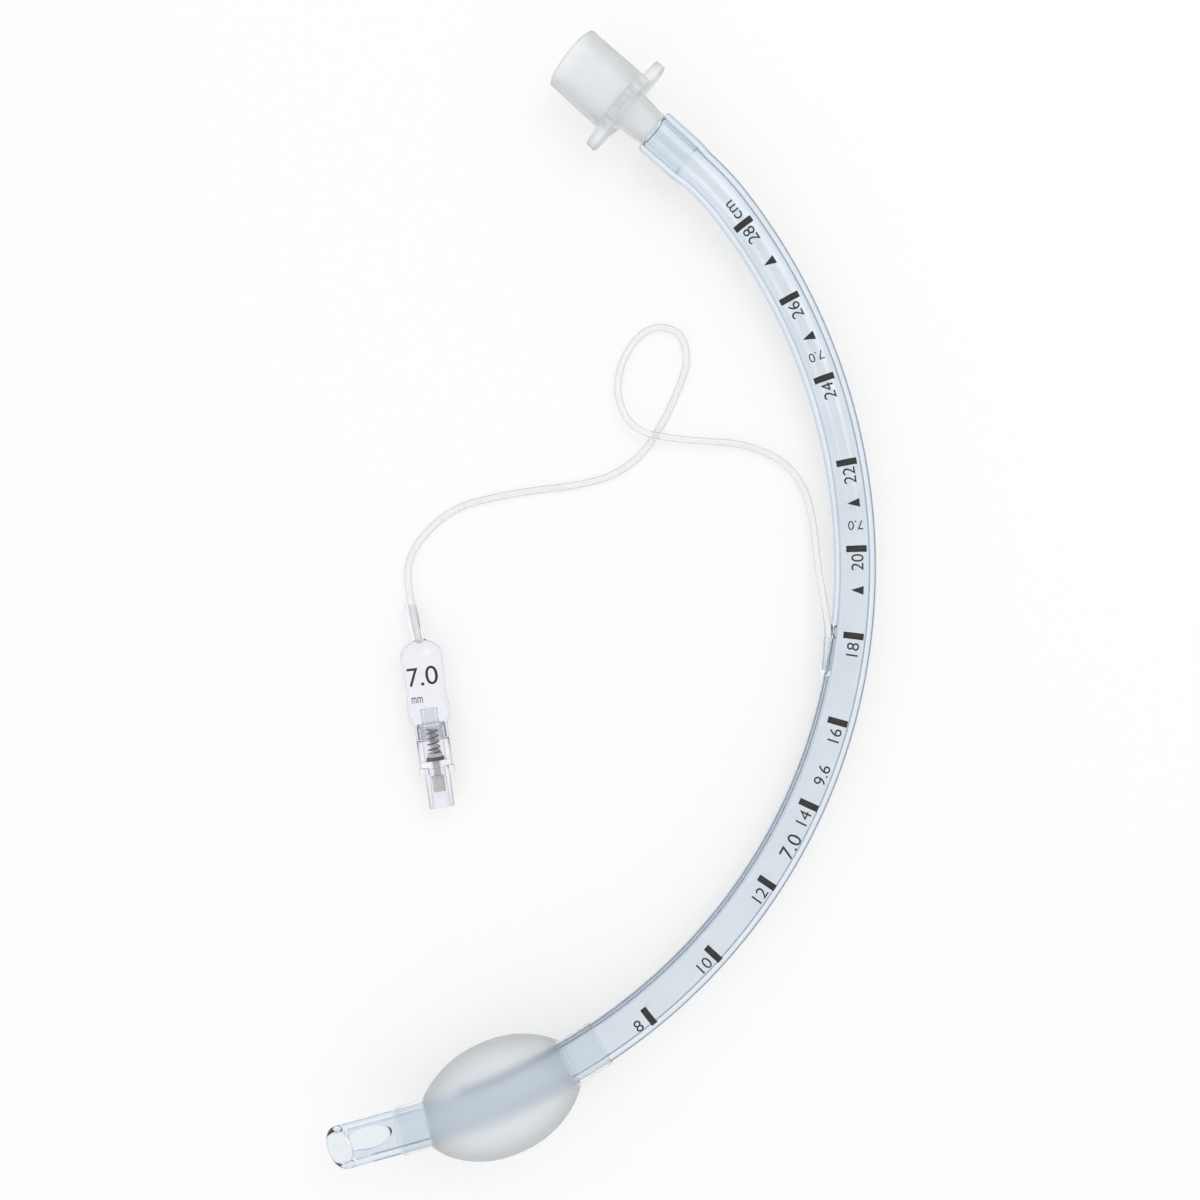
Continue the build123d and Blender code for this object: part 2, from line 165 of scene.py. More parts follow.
class AirwaySizes(bpy.types.PropertyGroup):
    """Sizes of the airway tube and of what is moulded into it."""

    outer: size("Outer diameter", "Outside of the airway tube", 9.6)
    bore: size("Bore", "Inside of the airway tube", 7.0)
    bevel: angle("Bevel", "Angle between the bevel and the tube's axis", 50.7)
    tip_turn: angle("Tip turn", "Turn of the bevel and the eye from straight up to the convex side", -8.0)
    rim_round: size("Rim rounding", "Length over which the bevel's edges are rounded", 0.45)
    eye_length: size("Eye length", "Side eye, along the tube", 9.9)
    eye_width: size("Eye width", "Side eye, across the tube", 5.4)
    eye_centre: size("Eye place", "Middle of the side eye from the tip", 9.9)
    socket: size("Stretched end", "Outside of the tube over the barrel", 10.5)
    socket_draft: size("Stretched end draft", "Loss of radius at the barrel's inner end", 0.1)
    channel: size("Channel", "Bore of the inflation channel", 0.8)
    channel_start: size("Channel start", "Start of the inflation channel from the tip", 32.5)
    stripe: size("Marker line", "Diameter of the marker line in the wall", 0.7)
    stripe_start: size("Marker line start", "Start of the marker line from the tip", 10.5)
    pocket: size("Pocket", "Outside of the pocket for the inflation line", 2.6)
    pocket_lip: size("Pocket lip", "Rounding of the pocket's mouth", 0.15)
    pocket_offset: size("Pocket offset", "Pocket's axis from the tube's axis", 4.9)
    pocket_start: size("Pocket start", "Start of the pocket from the tip", 169.0)
    pocket_end: size("Pocket end", "Mouth of the pocket from the tip", 178.1)
    notch_length: size("Notch length", "Oval notch beside the pocket's mouth", 3.2)
    notch_depth: size("Notch depth", "Depth of the notch", 1.1)


class ConnectorSizes(bpy.types.PropertyGroup):
    """Sizes of the moulded connector."""

    cone_mouth: size("Cone mouth", "Outside of the cone at its mouth", 15.1)
    cone_flange: size("Cone root", "Outside of the cone at the flange", 15.5)
    mouth_bore: size("Mouth bore", "Inside of the cone at its mouth", 12.7)
    throat_bore: size("Throat bore", "Inside of the cone above the throat", 12.2)
    cone_length: size("Cone length", "From the flange to the mouth", 15.2)
    throat: size("Throat", "Length of the step from the barrel's bore to the cone's", 3.0)
    flange: size("Flange", "Outside of the fluted flange", 16.4)
    flange_thickness: size("Flange thickness", "Thickness of the flange and ears", 2.4)
    flute_width: size("Flute width", "Diameter of the round flutes", 2.2)
    flute_depth: size("Flute depth", "Depth of the flutes", 0.55)
    flute_count: count("Flutes", "Number of flutes round the flange", 16)
    corner: size("Corner", "Rounding of the edges of flange and ears", 0.35)
    root_fillet: size("Root fillet", "Rounding between the barrel and the flange", 0.8)
    lip: size("Lip", "Height of the rounded lip at the cone's mouth", 0.45)
    ear_span: size("Ear span", "From the end of one ear to the other", 25.0)
    ear_width: size("Ear width", "Width of an ear", 7.6)
    barrel_root: size("Barrel root", "Outside of the barrel at the flange", 9.2)
    barrel_waist: size("Barrel waist", "Outside of the barrel at the tube's end", 8.1)
    barrel_end: size("Barrel end", "Outside of the barrel at its inner end", 7.7)
    barrel_bore: size("Barrel bore", "Inside of the barrel", 6.0)
    barrel_open: size("Open barrel", "Length of barrel between the tube and the flange", 7.4)
    barrel_seat: size("Seated barrel", "Length of barrel inside the tube", 10.2)


class CuffSizes(bpy.types.PropertyGroup):
    """Sizes of the inflated cuff."""

    start: size("Start", "Start of the cuff from the tip", 17.2)
    distal_collar: size("Distal collar", "Length of the collar nearer the tip", 6.7)
    length: size("Swell length", "Length of the inflated part", 34.6)
    proximal_collar: size("Proximal collar", "Length of the collar away from the tip", 8.1)
    collar: size("Collar", "Outside of the collars", 10.5)
    outer: size("Swell", "Outside of the inflated part", 25.2)
    wall: size("Wall", "Thickness of the film", 0.3)
    pucker: size("Pucker", "Depth of the folds beside the collars", 0.16)
    folds: count("Folds", "Number of soft folds round each end", 17)
    fold_place: share("Fold place", "Place of the folds between the swell's middle and its end", 0.93)
    fold_reach: share("Fold reach", "Reach of the folds as a share of half the swell", 0.055)


class ValveSizes(bpy.types.PropertyGroup):
    """Sizes of the valve in the pilot balloon."""

    luer: size("Socket", "Outside of the socket", 5.8)
    mouth_bore: size("Socket bore", "Bore of the socket at its mouth", 4.3)
    floor_bore: size("Floor bore", "Bore of the socket at the end of its taper", 3.85)
    taper_length: size("Taper length", "Length of the socket's taper", 7.5)
    luer_length: size("Socket length", "From the mouth to the barrel", 9.3)
    lug_span: size("Lug span", "From one lug's end to the other's", 8.3)
    lug_width: size("Lug width", "Width of a lug", 2.4)
    lug_thickness: size("Lug thickness", "Thickness of a lug", 1.5)
    barrel: size("Barrel", "Outside of the barrel", 7.6)
    barrel_length: size("Barrel length", "Length of the barrel", 9.6)
    seat_thickness: size("Seat thickness", "Thickness of the seat", 1.5)
    seat_bore: size("Seat bore", "Bore of the seat", 2.4)
    chamber: size("Chamber", "Bore of the spring chamber", 5.2)
    cap_plug: size("Cap plug", "Length of the cap's plug", 3.1)
    cap_bore: size("Cap bore", "Bore of the cap's plug", 3.9)
    cap_floor: size("Cap floor", "Thickness of the cap's floor", 0.6)
    cap_flange: size("Cap flange", "Outside of the cap's flange", 6.5)
    cap_flange_thickness: size("Cap flange thickness", "Thickness of the cap's flange", 0.6)
    nozzle: size("Nozzle", "Outside of the cap's nozzle", 3.9)
    nozzle_length: size("Nozzle length", "Length of the cap's nozzle", 3.4)
    nozzle_bore: size("Nozzle bore", "Bore of the cap's nozzle", 2.2)
    stem: size("Stem", "Outside of the stem", 1.6)
    piston: size("Piston", "Outside of the piston", 2.8)
    piston_rim: size("Piston rim", "Outside of the piston's rim", 3.1)
    piston_rim_thickness: size("Piston rim thickness", "Thickness of the piston's rim", 0.4)
    piston_length: size("Piston length", "Length of the piston", 3.3)
    piston_recess: size("Piston recess", "Piston's end from the socket's mouth", 3.7)
    seal: size("Seal", "Outside of the rubber seal", 4.2)
    seal_thickness: size("Seal thickness", "Thickness of the rubber seal", 0.7)
    spring_flange: size("Spring flange", "Outside of the flange under the spring", 3.4)
    spring_flange_thickness: size("Spring flange thickness", "Thickness of that flange", 0.9)
    spring: size("Spring", "Outside of the spring", 3.0)
    wire: size("Wire", "Diameter of the spring's wire", 0.36)
    turns: FloatProperty(name="Turns", description="Turns of the spring", default=5.0)
    travel: size("Travel", "Slide of the plunger", 1.5)


class BalloonSizes(bpy.types.PropertyGroup):
    """Sizes of the pilot balloon and the line that enters it."""

    width: size("Width", "Width of the balloon", 9.9)
    waist: size("Waist", "Width of the balloon at its waist", 9.0)
    height: size("Height", "Height of the balloon", 7.6)
    length: size("Length", "Length of the balloon", 20.0)
    wall: size("Wall", "Thickness of the film", 0.4)
    collar_length: size("Collar length", "Length of the sleeve on the barrel", 3.2)
    neck: size("Neck", "Outside of the neck", 2.8)
    neck_length: size("Neck length", "Length of the neck", 9.2)
    shoulder: size("Shoulder", "Length of the rounded shoulder at the neck", 3.8)
    taper: size("Taper", "Length of the taper at the barrel", 2.8)
    line: size("Line", "Outside of the inflation line", 1.6)


class PrintSettings(bpy.types.PropertyGroup):
    """The printed scale."""

    first_mark: count("First mark", "Lowest number of the scale, in centimetres", 8)
    last_mark: count("Last mark", "Highest number of the scale, in centimetres", 28)
    step: count("Step", "Centimetres from one mark to the next", 2)
    start: size("Start", "Added to each mark's distance from the tip", -0.8)
    aside: size("Aside", "Scale's place from the top of the tube to the convex side, half way along", -0.35)
    drift: FloatProperty(
        name="Drift", description="Change of that place with the distance", default=-0.0111, precision=4
    )
    bar_width: size("Bar width", "Width of a bar across the tube", 4.8)
    bar_height: size("Bar height", "Height of a bar along the tube", 1.5)
    figure: size("Figure height", "Height of the scale's figures", 2.8)
    small_figure: size("Small figure height", "Height of the small figures across the tube", 2.1)
    large_figure: size("Large figure height", "Height of the inside diameter's figures", 3.4)
    unit: size("Unit height", "Height of the unit at the end of the scale", 1.9)
    arrow_base: size("Arrow base", "Width of an arrow", 2.0)
    arrow_height: size("Arrow height", "Length of an arrow across the tube", 2.9)
    balloon_figure: size("Balloon figure height", "Height of the figures on the balloon", 4.3)
    balloon_unit: size("Balloon unit height", "Height of the unit on the balloon", 1.4)
    lift: size("Lift", "Height of the ink over the surface", 0.012)
    ink: size("Ink", "Thickness of the ink", 0.02)


class Finishes(bpy.types.PropertyGroup):
    """Colours of the finishes."""

    # Each colour for a part seen at a slant is painted shade. It stands in for the dark surroundings that a
    # clear part shows near its outline. The tube's deep blue there is painted shade over its own bluish tint.
    tube: colour("Tube", "Clear tube seen face on", (0.845, 0.885, 0.92))
    tube_edge: colour("Tube edge", "Clear tube seen at a slant", (0.16, 0.34, 0.66))
    connector: colour("Connector", "Milky moulding", (0.975, 0.99, 1.0))
    connector_edge: colour("Connector edge", "Milky moulding seen at a slant", (0.90, 0.94, 0.965))
    seated: colour("Seated barrel", "Moulding inside the tube", (0.95, 0.97, 0.985))
    seated_edge: colour("Seated barrel edge", "Moulding inside the tube seen at a slant", (0.55, 0.66, 0.78))
    pocket: colour("Pocket", "Sleeve for the inflation line", (0.96, 0.975, 0.99))
    cuff: colour("Cuff", "Frosted film", (0.935, 0.955, 0.97))
    cuff_edge: colour("Cuff edge", "Frosted film seen at a slant", (0.84, 0.885, 0.925))
    line: colour("Line", "Core of the inflation line", (0.97, 0.98, 0.98))
    line_edge: colour("Line edge", "Inflation line seen at a slant", (0.46, 0.52, 0.58))
    balloon: colour("Balloon", "Balloon's film", (0.95, 0.955, 0.98))
    balloon_edge: colour("Balloon edge", "Balloon's film seen at a slant", (0.25, 0.27, 0.36))
    valve: colour("Valve", "Clear valve", (0.90, 0.905, 0.945))
    valve_edge: colour("Valve edge", "Clear valve seen at a slant", (0.16, 0.15, 0.28))
    ink: colour("Ink", "Printed scale", (0.012, 0.011, 0.012))
    channel: colour("Channel", "Inflation channel in the wall", (0.78, 0.86, 0.93))
    stripe: colour("Marker line", "Marker line in the wall", (0.45, 0.62, 0.80))
    plunger: colour("Plunger", "Beige stem and piston", (0.85, 0.81, 0.75))
    seal: colour("Seal", "Dark rubber", (0.05, 0.05, 0.06))
    spring: colour("Spring", "Steel wire", (0.10, 0.10, 0.12))


class StageSettings(bpy.types.PropertyGroup):
    """Floor, light and camera."""

    lens: FloatProperty(name="Lens", description="Camera lens in millimetres on a 36 mm sensor", default=42.0)
    height: size("Camera height", "Camera over the table", 328.34)
    floor: colour("Floor", "Pale floor", (0.94, 0.94, 0.94))
    glow: share("Floor glow", "Share of plain white in the floor as the camera sees it", 0.6)
    clear_glow: share("Glow through glass", "The same share, seen in a mirror or through glass", 0.96)
    sky: FloatProperty(name="Sky", description="Strength of the light from all round", default=0.85)
    key: FloatProperty(name="Key", description="Power of the large lamp in watts", default=1.8)
    fill: FloatProperty(name="Fill", description="Power of the low lamp in watts", default=0.8)


PROPERTY_GROUPS = {
    "airway": AirwaySizes,
    "connector_sizes": ConnectorSizes,
    "cuff_sizes": CuffSizes,
    "valve_sizes": ValveSizes,
    "balloon_sizes": BalloonSizes,
    "print_settings": PrintSettings,
    "finishes": Finishes,
    "stage_settings": StageSettings,
}


def line_pieces():
    """The centre line's pieces as (length, curvature), from the tip."""
    bends = [(radius * radians(turn), 1 / radius) for radius, turn in TUBE_BENDS]
    return [(TIP_STRAIGHT, 0.0), *bends, (MACHINE_STRAIGHT, 0.0)]


TUBE_LENGTH = sum(length for length, _ in line_pieces())


def flat_line(distances):
    """Points and headings of the flat centre line at distances from the tip.

    Along a piece of curvature k the heading grows as h0 + k t. The point moves by t (cos h0, sin h0) where
    k is 0, and elsewhere by (sin h - sin h0, cos h0 - cos h) / k.
    """
    distances = np.asarray(distances, float)
    points = np.zeros(distances.shape + (2,))
    headings = np.zeros(distances.shape)
    start, heading, place = 0.0, radians(TIP_HEADING), np.array(TIP_START)
    pieces = line_pieces()
    for number, (length, curvature) in enumerate(pieces):
        first, last = number == 0, number == len(pieces) - 1
        here = ((distances >= start) | first) & ((distances < start + length) | last)
        along = distances[here] - start
        headings[here] = heading + curvature * along
        if curvature:
            step = np.stack(
                [np.sin(headings[here]) - sin(heading), cos(heading) - np.cos(headings[here])], axis=-1
            )
            points[here] = place + step / curvature
            end = heading + curvature * length
            place = place + np.array([sin(end) - sin(heading), cos(heading) - cos(end)]) / curvature
            heading = end
        else:
            points[here] = place + along[..., None] * np.array([cos(heading), sin(heading)])
            place = place + length * np.array([cos(heading), sin(heading)])
        start += length
    return points, headings


def rest_plane(airway, connector, cuff):
    """Origin height and the three axes of the plane in which the drawn line lies at rest.

    The heights of the swell's middle, the flange's middle and the tube's belly fix z = h + a x + b y.
    """
    cuff_middle = cuff.start + cuff.distal_collar + cuff.length / 2
    flange_middle = TUBE_LENGTH + connector.barrel_open + connector.flange_thickness / 2
    places, _ = flat_line([cuff_middle, flange_middle, BELLY_SHARE * TUBE_LENGTH])
    heights = np.array([cuff.outer, connector.flange, airway.outer]) / 2
    height, rise_x, rise_y = np.linalg.solve(np.c_[np.ones(3), places], heights)
    run_x = sqrt(1 - rise_x**2)
    level = sqrt(1 - rise_x**2 - rise_y**2)
    across = np.array([run_x, 0, rise_x])
    up = np.array([-level * rise_x / run_x, -rise_y / run_x, level])
    return np.array([0, 0, height]), across, np.cross(up, across), up


def airway_frames(distances):
    """Points on the tube's centre line, tangents, the upward axis and the axis to the convex side."""
    scene = bpy.context.scene
    origin, across, along, up = rest_plane(scene.airway, scene.connector_sizes, scene.cuff_sizes)
    flat, headings = flat_line(distances)
    points = origin + flat[..., :1] * across + flat[..., 1:] * along
    tangents = np.cos(headings)[..., None] * across + np.sin(headings)[..., None] * along
    return points, tangents, up, np.cross(tangents, up)


def carried(distances, radii, angles, offset=0.0):
    """A surface round the centre line: c(s) + offset * side + r (cos a * up + sin a * side)."""
    points, _, up, side = airway_frames(distances)
    return points + offset * side + radii[..., None] * (
        np.cos(angles)[..., None] * up + np.sin(angles)[..., None] * side
    )


def turned_about(origin, direction, up, distances, radii, angles):
    """A surface round a straight axis: o + d * axis + r (cos a * up + sin a * side)."""
    side = np.cross(direction, up)
    return (
        origin
        + distances[..., None] * direction
        + radii[..., None] * (np.cos(angles)[..., None] * up + np.sin(angles)[..., None] * side)
    )


def circle(count=AROUND):
    """Evenly spaced angles of a full turn."""
    return np.arange(count) * 2 * np.pi / count


def quarter(count):
    """Evenly spaced angles of a quarter turn, as (1 - sine, 1 - cosine) pairs."""
    return [(1 - sin(turn), 1 - cos(turn)) for turn in np.linspace(0, np.pi / 2, count)]


def rings(distances, radii, count):
    """One row for each (distance, radius), spread over a count of angles: distances, radii and angles."""
    spread = np.ones(count)
    angles = np.broadcast_to(circle(count), (len(distances), count))
    return distances[:, None] * spread, radii[:, None] * spread, angles


def rounded_path(corners, radius, steps=4):
    """A polygon of (distance, radius) corners with each corner cut to a short curve.

    Each curve is a quadratic Bezier from p before the corner q to r after it: (1 - t)^2 p + 2 t (1 - t) q +
    t^2 r. Both are a radius from the corner, but no further than 0.45 of the shorter side there.
    """
    corners = np.asarray(corners, float)
    before, after = np.roll(corners, 1, axis=0) - corners, np.roll(corners, -1, axis=0) - corners
    length_before, length_after = np.linalg.norm(before, axis=1), np.linalg.norm(after, axis=1)
    reach = np.minimum(radius, 0.45 * np.minimum(length_before, length_after))
    start = corners + before / length_before[:, None] * reach[:, None]
    end = corners + after / length_after[:, None] * reach[:, None]
    t = np.linspace(0, 1, steps)[None, :, None]
    curve = (1 - t) ** 2 * start[:, None] + 2 * t * (1 - t) * corners[:, None] + t**2 * end[:, None]
    return curve.reshape(-1, 2)


def grid_mesh(name, points, wrap_rows=True, wrap_columns=True, along=None):
    """A mesh of quads over a grid of points, with a UV map of distance along and share of the turn."""
    rows, columns = points.shape[:2]
    index = np.arange(rows * columns).reshape(rows, columns)
    row = np.arange(rows if wrap_rows else rows - 1)[:, None]
    column = np.arange(columns if wrap_columns else columns - 1)[None, :]
    corners = ((0, 0), (0, 1), (1, 1), (1, 0))
    faces = np.stack([index[(row + r) % rows, (column + c) % columns] for r, c in corners], axis=-1)
    mesh = bpy.data.meshes.new(name)
    mesh.from_pydata(points.reshape(-1, 3).tolist(), [], faces.reshape(-1, 4).tolist())
    along = np.linspace(0, 1, rows) if along is None else np.asarray(along, float)
    if along.ndim == 1:
        along = np.repeat(along[:, None], columns, axis=1)
    u = np.stack([along[(row + r) % rows, (column + c) % columns] for r, c in corners], axis=-1)
    v = np.stack([(column + c + 0 * row) / columns for _, c in corners], axis=-1)
    layer = mesh.uv_layers.new(name="UVMap")
    layer.data.foreach_set("uv", np.stack([u, v], axis=-1).reshape(-1).astype(np.float32))
    mesh.update()
    return mesh


def tidy_mesh(mesh, weld=0.0, sharp=38.0):
    """Welds points where asked, turns the faces outwards and smooths them up to an angle."""
    shell = bmesh.new()
    shell.from_mesh(mesh)
    if weld:
        bmesh.ops.remove_doubles(shell, verts=shell.verts, dist=weld)
        bmesh.ops.dissolve_degenerate(shell, edges=shell.edges, dist=weld / 4)
    bmesh.ops.recalc_face_normals(shell, faces=shell.faces)
    shell.to_mesh(mesh)
    shell.free()
    mesh.shade_smooth()
    mesh.set_sharp_from_angle(angle=radians(sharp))


def add_piece(name, mesh, material, replaced=(), body=SET_BODY):
    """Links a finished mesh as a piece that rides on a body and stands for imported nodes."""
    piece = bpy.data.objects.new(name, mesh)
    bpy.context.scene.collection.objects.link(piece)
    mesh.materials.append(material)
    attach(piece, body)
    if replaced:
        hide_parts(*replaced)
    return piece


def cloud_group():
    """A shared effect from noise in the given coordinates: a cloudy shade from 0 to 1 and a finer height."""
    name = "fine_clouds"
    if name in bpy.data.node_groups:
        return bpy.data.node_groups[name]
    group = bpy.data.node_groups.new(name, "ShaderNodeTree")
    face = group.interface
    face.new_socket("Vector", in_out="INPUT", socket_type="NodeSocketVector")
    scale = face.new_socket("Scale", in_out="INPUT", socket_type="NodeSocketFloat")
    scale.default_value = 200.0
    face.new_socket("Shade", in_out="OUTPUT", socket_type="NodeSocketFloat")
    face.new_socket("Height", in_out="OUTPUT", socket_type="NodeSocketFloat")
    nodes, links = group.nodes, group.links
    entry, leave = nodes.new("NodeGroupInput"), nodes.new("NodeGroupOutput")
    coarse, fine = nodes.new("ShaderNodeTexNoise"), nodes.new("ShaderNodeTexNoise")
    coarse.inputs["Detail"].default_value = 3.0
    fine.inputs["Detail"].default_value = 5.0
    times = nodes.new("ShaderNodeMath")
    times.operation = "MULTIPLY"
    times.inputs[1].default_value = 6.0
    spread = nodes.new("ShaderNodeMapRange")
    spread.inputs["From Min"].default_value = 0.3
    spread.inputs["From Max"].default_value = 0.7
    links.new(entry.outputs["Vector"], coarse.inputs["Vector"])
    links.new(entry.outputs["Vector"], fine.inputs["Vector"])
    links.new(entry.outputs["Scale"], coarse.inputs["Scale"])
    links.new(entry.outputs["Scale"], times.inputs[0])
    links.new(times.outputs[0], fine.inputs["Scale"])
    links.new(coarse.outputs["Fac"], spread.inputs["Value"])
    links.new(spread.outputs["Result"], leave.inputs["Shade"])
    links.new(fine.outputs["Fac"], leave.inputs["Height"])
    return group


def finish_material(
    name,
    face_on,
    slanted=None,
    edge=(0.5, 0.95),
    frost=None,
    clouds=200.0,
    cloud_depth=0.04,
    stretch=(1.0, 1.0, 1.0),
    bump=0.05,
    bump_distance=0.00002,
    **values,
):
    """A material whose colour goes from face-on to a slanted colour that is painted shade, with a cloudy
    shade and a fine bump.

    The change runs between the edge's two values of the Layer Weight node's Facing, 1 - |cos| of the angle of
    view. frost, where given, is the pair of roughness values for a frost attribute of 0 and 1. Other keywords
    are the Principled BSDF's own sockets, with underscores for spaces.
    """
    material = bpy.data.materials.new(name)
    material.use_nodes = True
    nodes, links = material.node_tree.nodes, material.node_tree.links
    shader = nodes["Principled BSDF"]
    place, mapping = nodes.new("ShaderNodeTexCoord"), nodes.new("ShaderNodeMapping")
    mapping.inputs["Scale"].default_value = stretch
    links.new(place.outputs["Object"], mapping.inputs["Vector"])
    cloud = nodes.new("ShaderNodeGroup")
    cloud.node_tree = cloud_group()
    cloud.inputs["Scale"].default_value = clouds
    links.new(mapping.outputs["Vector"], cloud.inputs["Vector"])
    shade = nodes.new("ShaderNodeMix")
    shade.data_type = "RGBA"
    shade.inputs["A"].default_value = (*face_on, 1)
    shade.inputs["B"].default_value = (*[channel * (1 - cloud_depth) for channel in face_on], 1)
    links.new(cloud.outputs["Shade"], shade.inputs["Factor"])
    out = shade.outputs["Result"]
    # Painted shade: the colour darkens towards the slanted one where the surface is seen at a slant, in place
    # of the dark surroundings that a clear part shows near its outline.
    if slanted is not None:
        weight = nodes.new("ShaderNodeLayerWeight")
        weight.inputs["Blend"].default_value = 0.5
        span = nodes.new("ShaderNodeMapRange")
        span.interpolation_type = "SMOOTHSTEP"
        span.inputs["From Min"].default_value, span.inputs["From Max"].default_value = edge
        rim = nodes.new("ShaderNodeMix")
        rim.data_type = "RGBA"
        rim.inputs["B"].default_value = (*slanted, 1)
        links.new(weight.outputs["Facing"], span.inputs["Value"])
        links.new(span.outputs["Result"], rim.inputs["Factor"])
        links.new(out, rim.inputs["A"])
        out = rim.outputs["Result"]
    links.new(out, shader.inputs["Base Color"])
    relief = nodes.new("ShaderNodeBump")
    relief.inputs["Strength"].default_value = bump
    relief.inputs["Distance"].default_value = bump_distance
    links.new(cloud.outputs["Height"], relief.inputs["Height"])
    links.new(relief.outputs["Normal"], shader.inputs["Normal"])
    for socket, value in values.items():
        shader.inputs[socket.replace("_", " ")].default_value = value
    if frost is not None:
        mask, rough = nodes.new("ShaderNodeAttribute"), nodes.new("ShaderNodeMapRange")
        mask.attribute_name = "frost"
        rough.inputs["To Min"].default_value, rough.inputs["To Max"].default_value = frost
        links.new(mask.outputs["Fac"], rough.inputs["Value"])
        links.new(rough.outputs["Result"], shader.inputs["Roughness"])
    return material


def tube_material():
    """Clear tube: bluish, and darker where it is seen at a slant, which is painted shade."""
    finishes = bpy.context.scene.finishes
    return finish_material(
        "clear_tube", finishes.tube, finishes.tube_edge, edge=(0.38, 0.84), clouds=120.0, bump=0.03,
        Roughness=0.05, Transmission_Weight=1.0, IOR=1.5,
    )


def connector_material():
    """Milky moulding: rough enough that what lies behind it is blurred."""
    finishes = bpy.context.scene.finishes
    # The slanted colour is painted shade near the outline.
    return finish_material(
        "milky_moulding", finishes.connector, finishes.connector_edge, edge=(0.55, 1.0), clouds=350.0,
        bump=0.12, Roughness=0.42, Transmission_Weight=0.86, IOR=1.46,
    )


def seated_material():
    """The same moulding where the tube's wall lies close on it: smooth, and it hardly bends the light."""
    finishes = bpy.context.scene.finishes
    # The slanted colour is painted shade near the outline.
    return finish_material(
        "seated_moulding", finishes.seated, finishes.seated_edge, edge=(0.6, 1.0), clouds=350.0,
        cloud_depth=0.01, bump=0.02, Roughness=0.04, Transmission_Weight=1.0, IOR=1.15,
    )


def pocket_material():
    """Thin clear sleeve, with the same blue painted shade at its edges as the tube."""
    finishes = bpy.context.scene.finishes
    return finish_material(
        "clear_pocket", finishes.pocket, finishes.tube_edge, edge=(0.5, 0.9), clouds=120.0, cloud_depth=0.01,
        bump=0.02, Roughness=0.05, Transmission_Weight=1.0, IOR=1.12,
    )


def cuff_material():
    """Thin film, clear on the collars and frosted on the swell."""
    finishes = bpy.context.scene.finishes
    # The slanted colour is painted shade near the outline.
    return finish_material(
        "frosted_film", finishes.cuff, finishes.cuff_edge, edge=(0.7, 1.0), frost=(0.06, 0.42), clouds=90.0,
        cloud_depth=0.02, bump=0.1, Transmission_Weight=1.0, IOR=1.35,
    )


def balloon_material():
    """Thin clear film with a lavender tint."""
    finishes = bpy.context.scene.finishes
    # The dark slanted colour is painted shade near the outline; the lavender tint is the film's own.
    return finish_material(
        "balloon_film", finishes.balloon, finishes.balloon_edge, edge=(0.55, 0.95), clouds=250.0,
        cloud_depth=0.02, bump=0.05, Roughness=0.1, Transmission_Weight=1.0, IOR=1.35,
    )


def valve_material():
    """Hard clear moulding whose violet-grey edges are painted shade."""
    finishes = bpy.context.scene.finishes
    return finish_material(
        "clear_moulding", finishes.valve, finishes.valve_edge, edge=(0.38, 0.85), clouds=300.0,
        cloud_depth=0.02, bump=0.02, Roughness=0.02, Transmission_Weight=1.0, IOR=1.49,
    )


def line_material():
    """Small clear tube: white in the middle, and grey at its edges, which is painted shade."""
    finishes = bpy.context.scene.finishes
    return finish_material(
        "clear_line", finishes.line, finishes.line_edge, edge=(0.2, 0.75), clouds=150.0, bump=0.03,
        Roughness=0.14, Transmission_Weight=0.75, IOR=1.4,
    )


def solid_material(name, base, roughness, metallic=0.0, clouds=400.0, bump=0.1):
    """An opaque finish: a cloudy colour with a fine bump."""
    return finish_material(
        name, base, clouds=clouds, cloud_depth=0.15, bump=bump, Roughness=roughness, Metallic=metallic,
    )


def bevel_distance(airway, radii, angles):
    """Distance from the tip at which a wall line of that radius and angle meets the bevel's plane."""
    cotangent = 1 / tan(radians(airway.bevel))
    middle = airway.outer / 2 * cotangent
    return middle + radii * np.cos(angles - radians(airway.tip_turn)) * cotangent


def socket_outer_radius(airway, connector, distances):
    """Outside radius: the plain tube, a slope up to the barrel's end, then the stretched end."""
    barrel_end = -connector.barrel_seat
    knots = TUBE_LENGTH + np.array([-MACHINE_STRAIGHT, barrel_end, barrel_end + SOCKET_SLOPE, 0])
    full = airway.socket / 2
    heights = [airway.outer / 2, full - airway.socket_draft, full, full]
    return smooth_profile(distances, knots, heights)


def socket_inner_radius(airway, connector, distances):
    """Inside radius: the plain bore, a slope up to the barrel's end, then the barrel's outside."""
    knots = TUBE_LENGTH + np.array([-MACHINE_STRAIGHT, -connector.barrel_seat, 0])
    heights = [airway.bore / 2, connector.barrel_end / 2, connector.barrel_waist / 2]
    return np.interp(distances, knots, heights) + GAP


def smooth_profile(distances, knots, heights, reach=0.6 * MM):
    """Straight lines between knots, averaged over a short reach with cosine-squared weights."""
    taps = np.linspace(-reach, reach, 9)
    weights = np.cos(taps / reach * np.pi / 2) ** 2 + 1e-6
    stack = np.stack([np.interp(distances + tap, knots, heights) for tap in taps], axis=-1)
    return stack @ (weights / weights.sum())


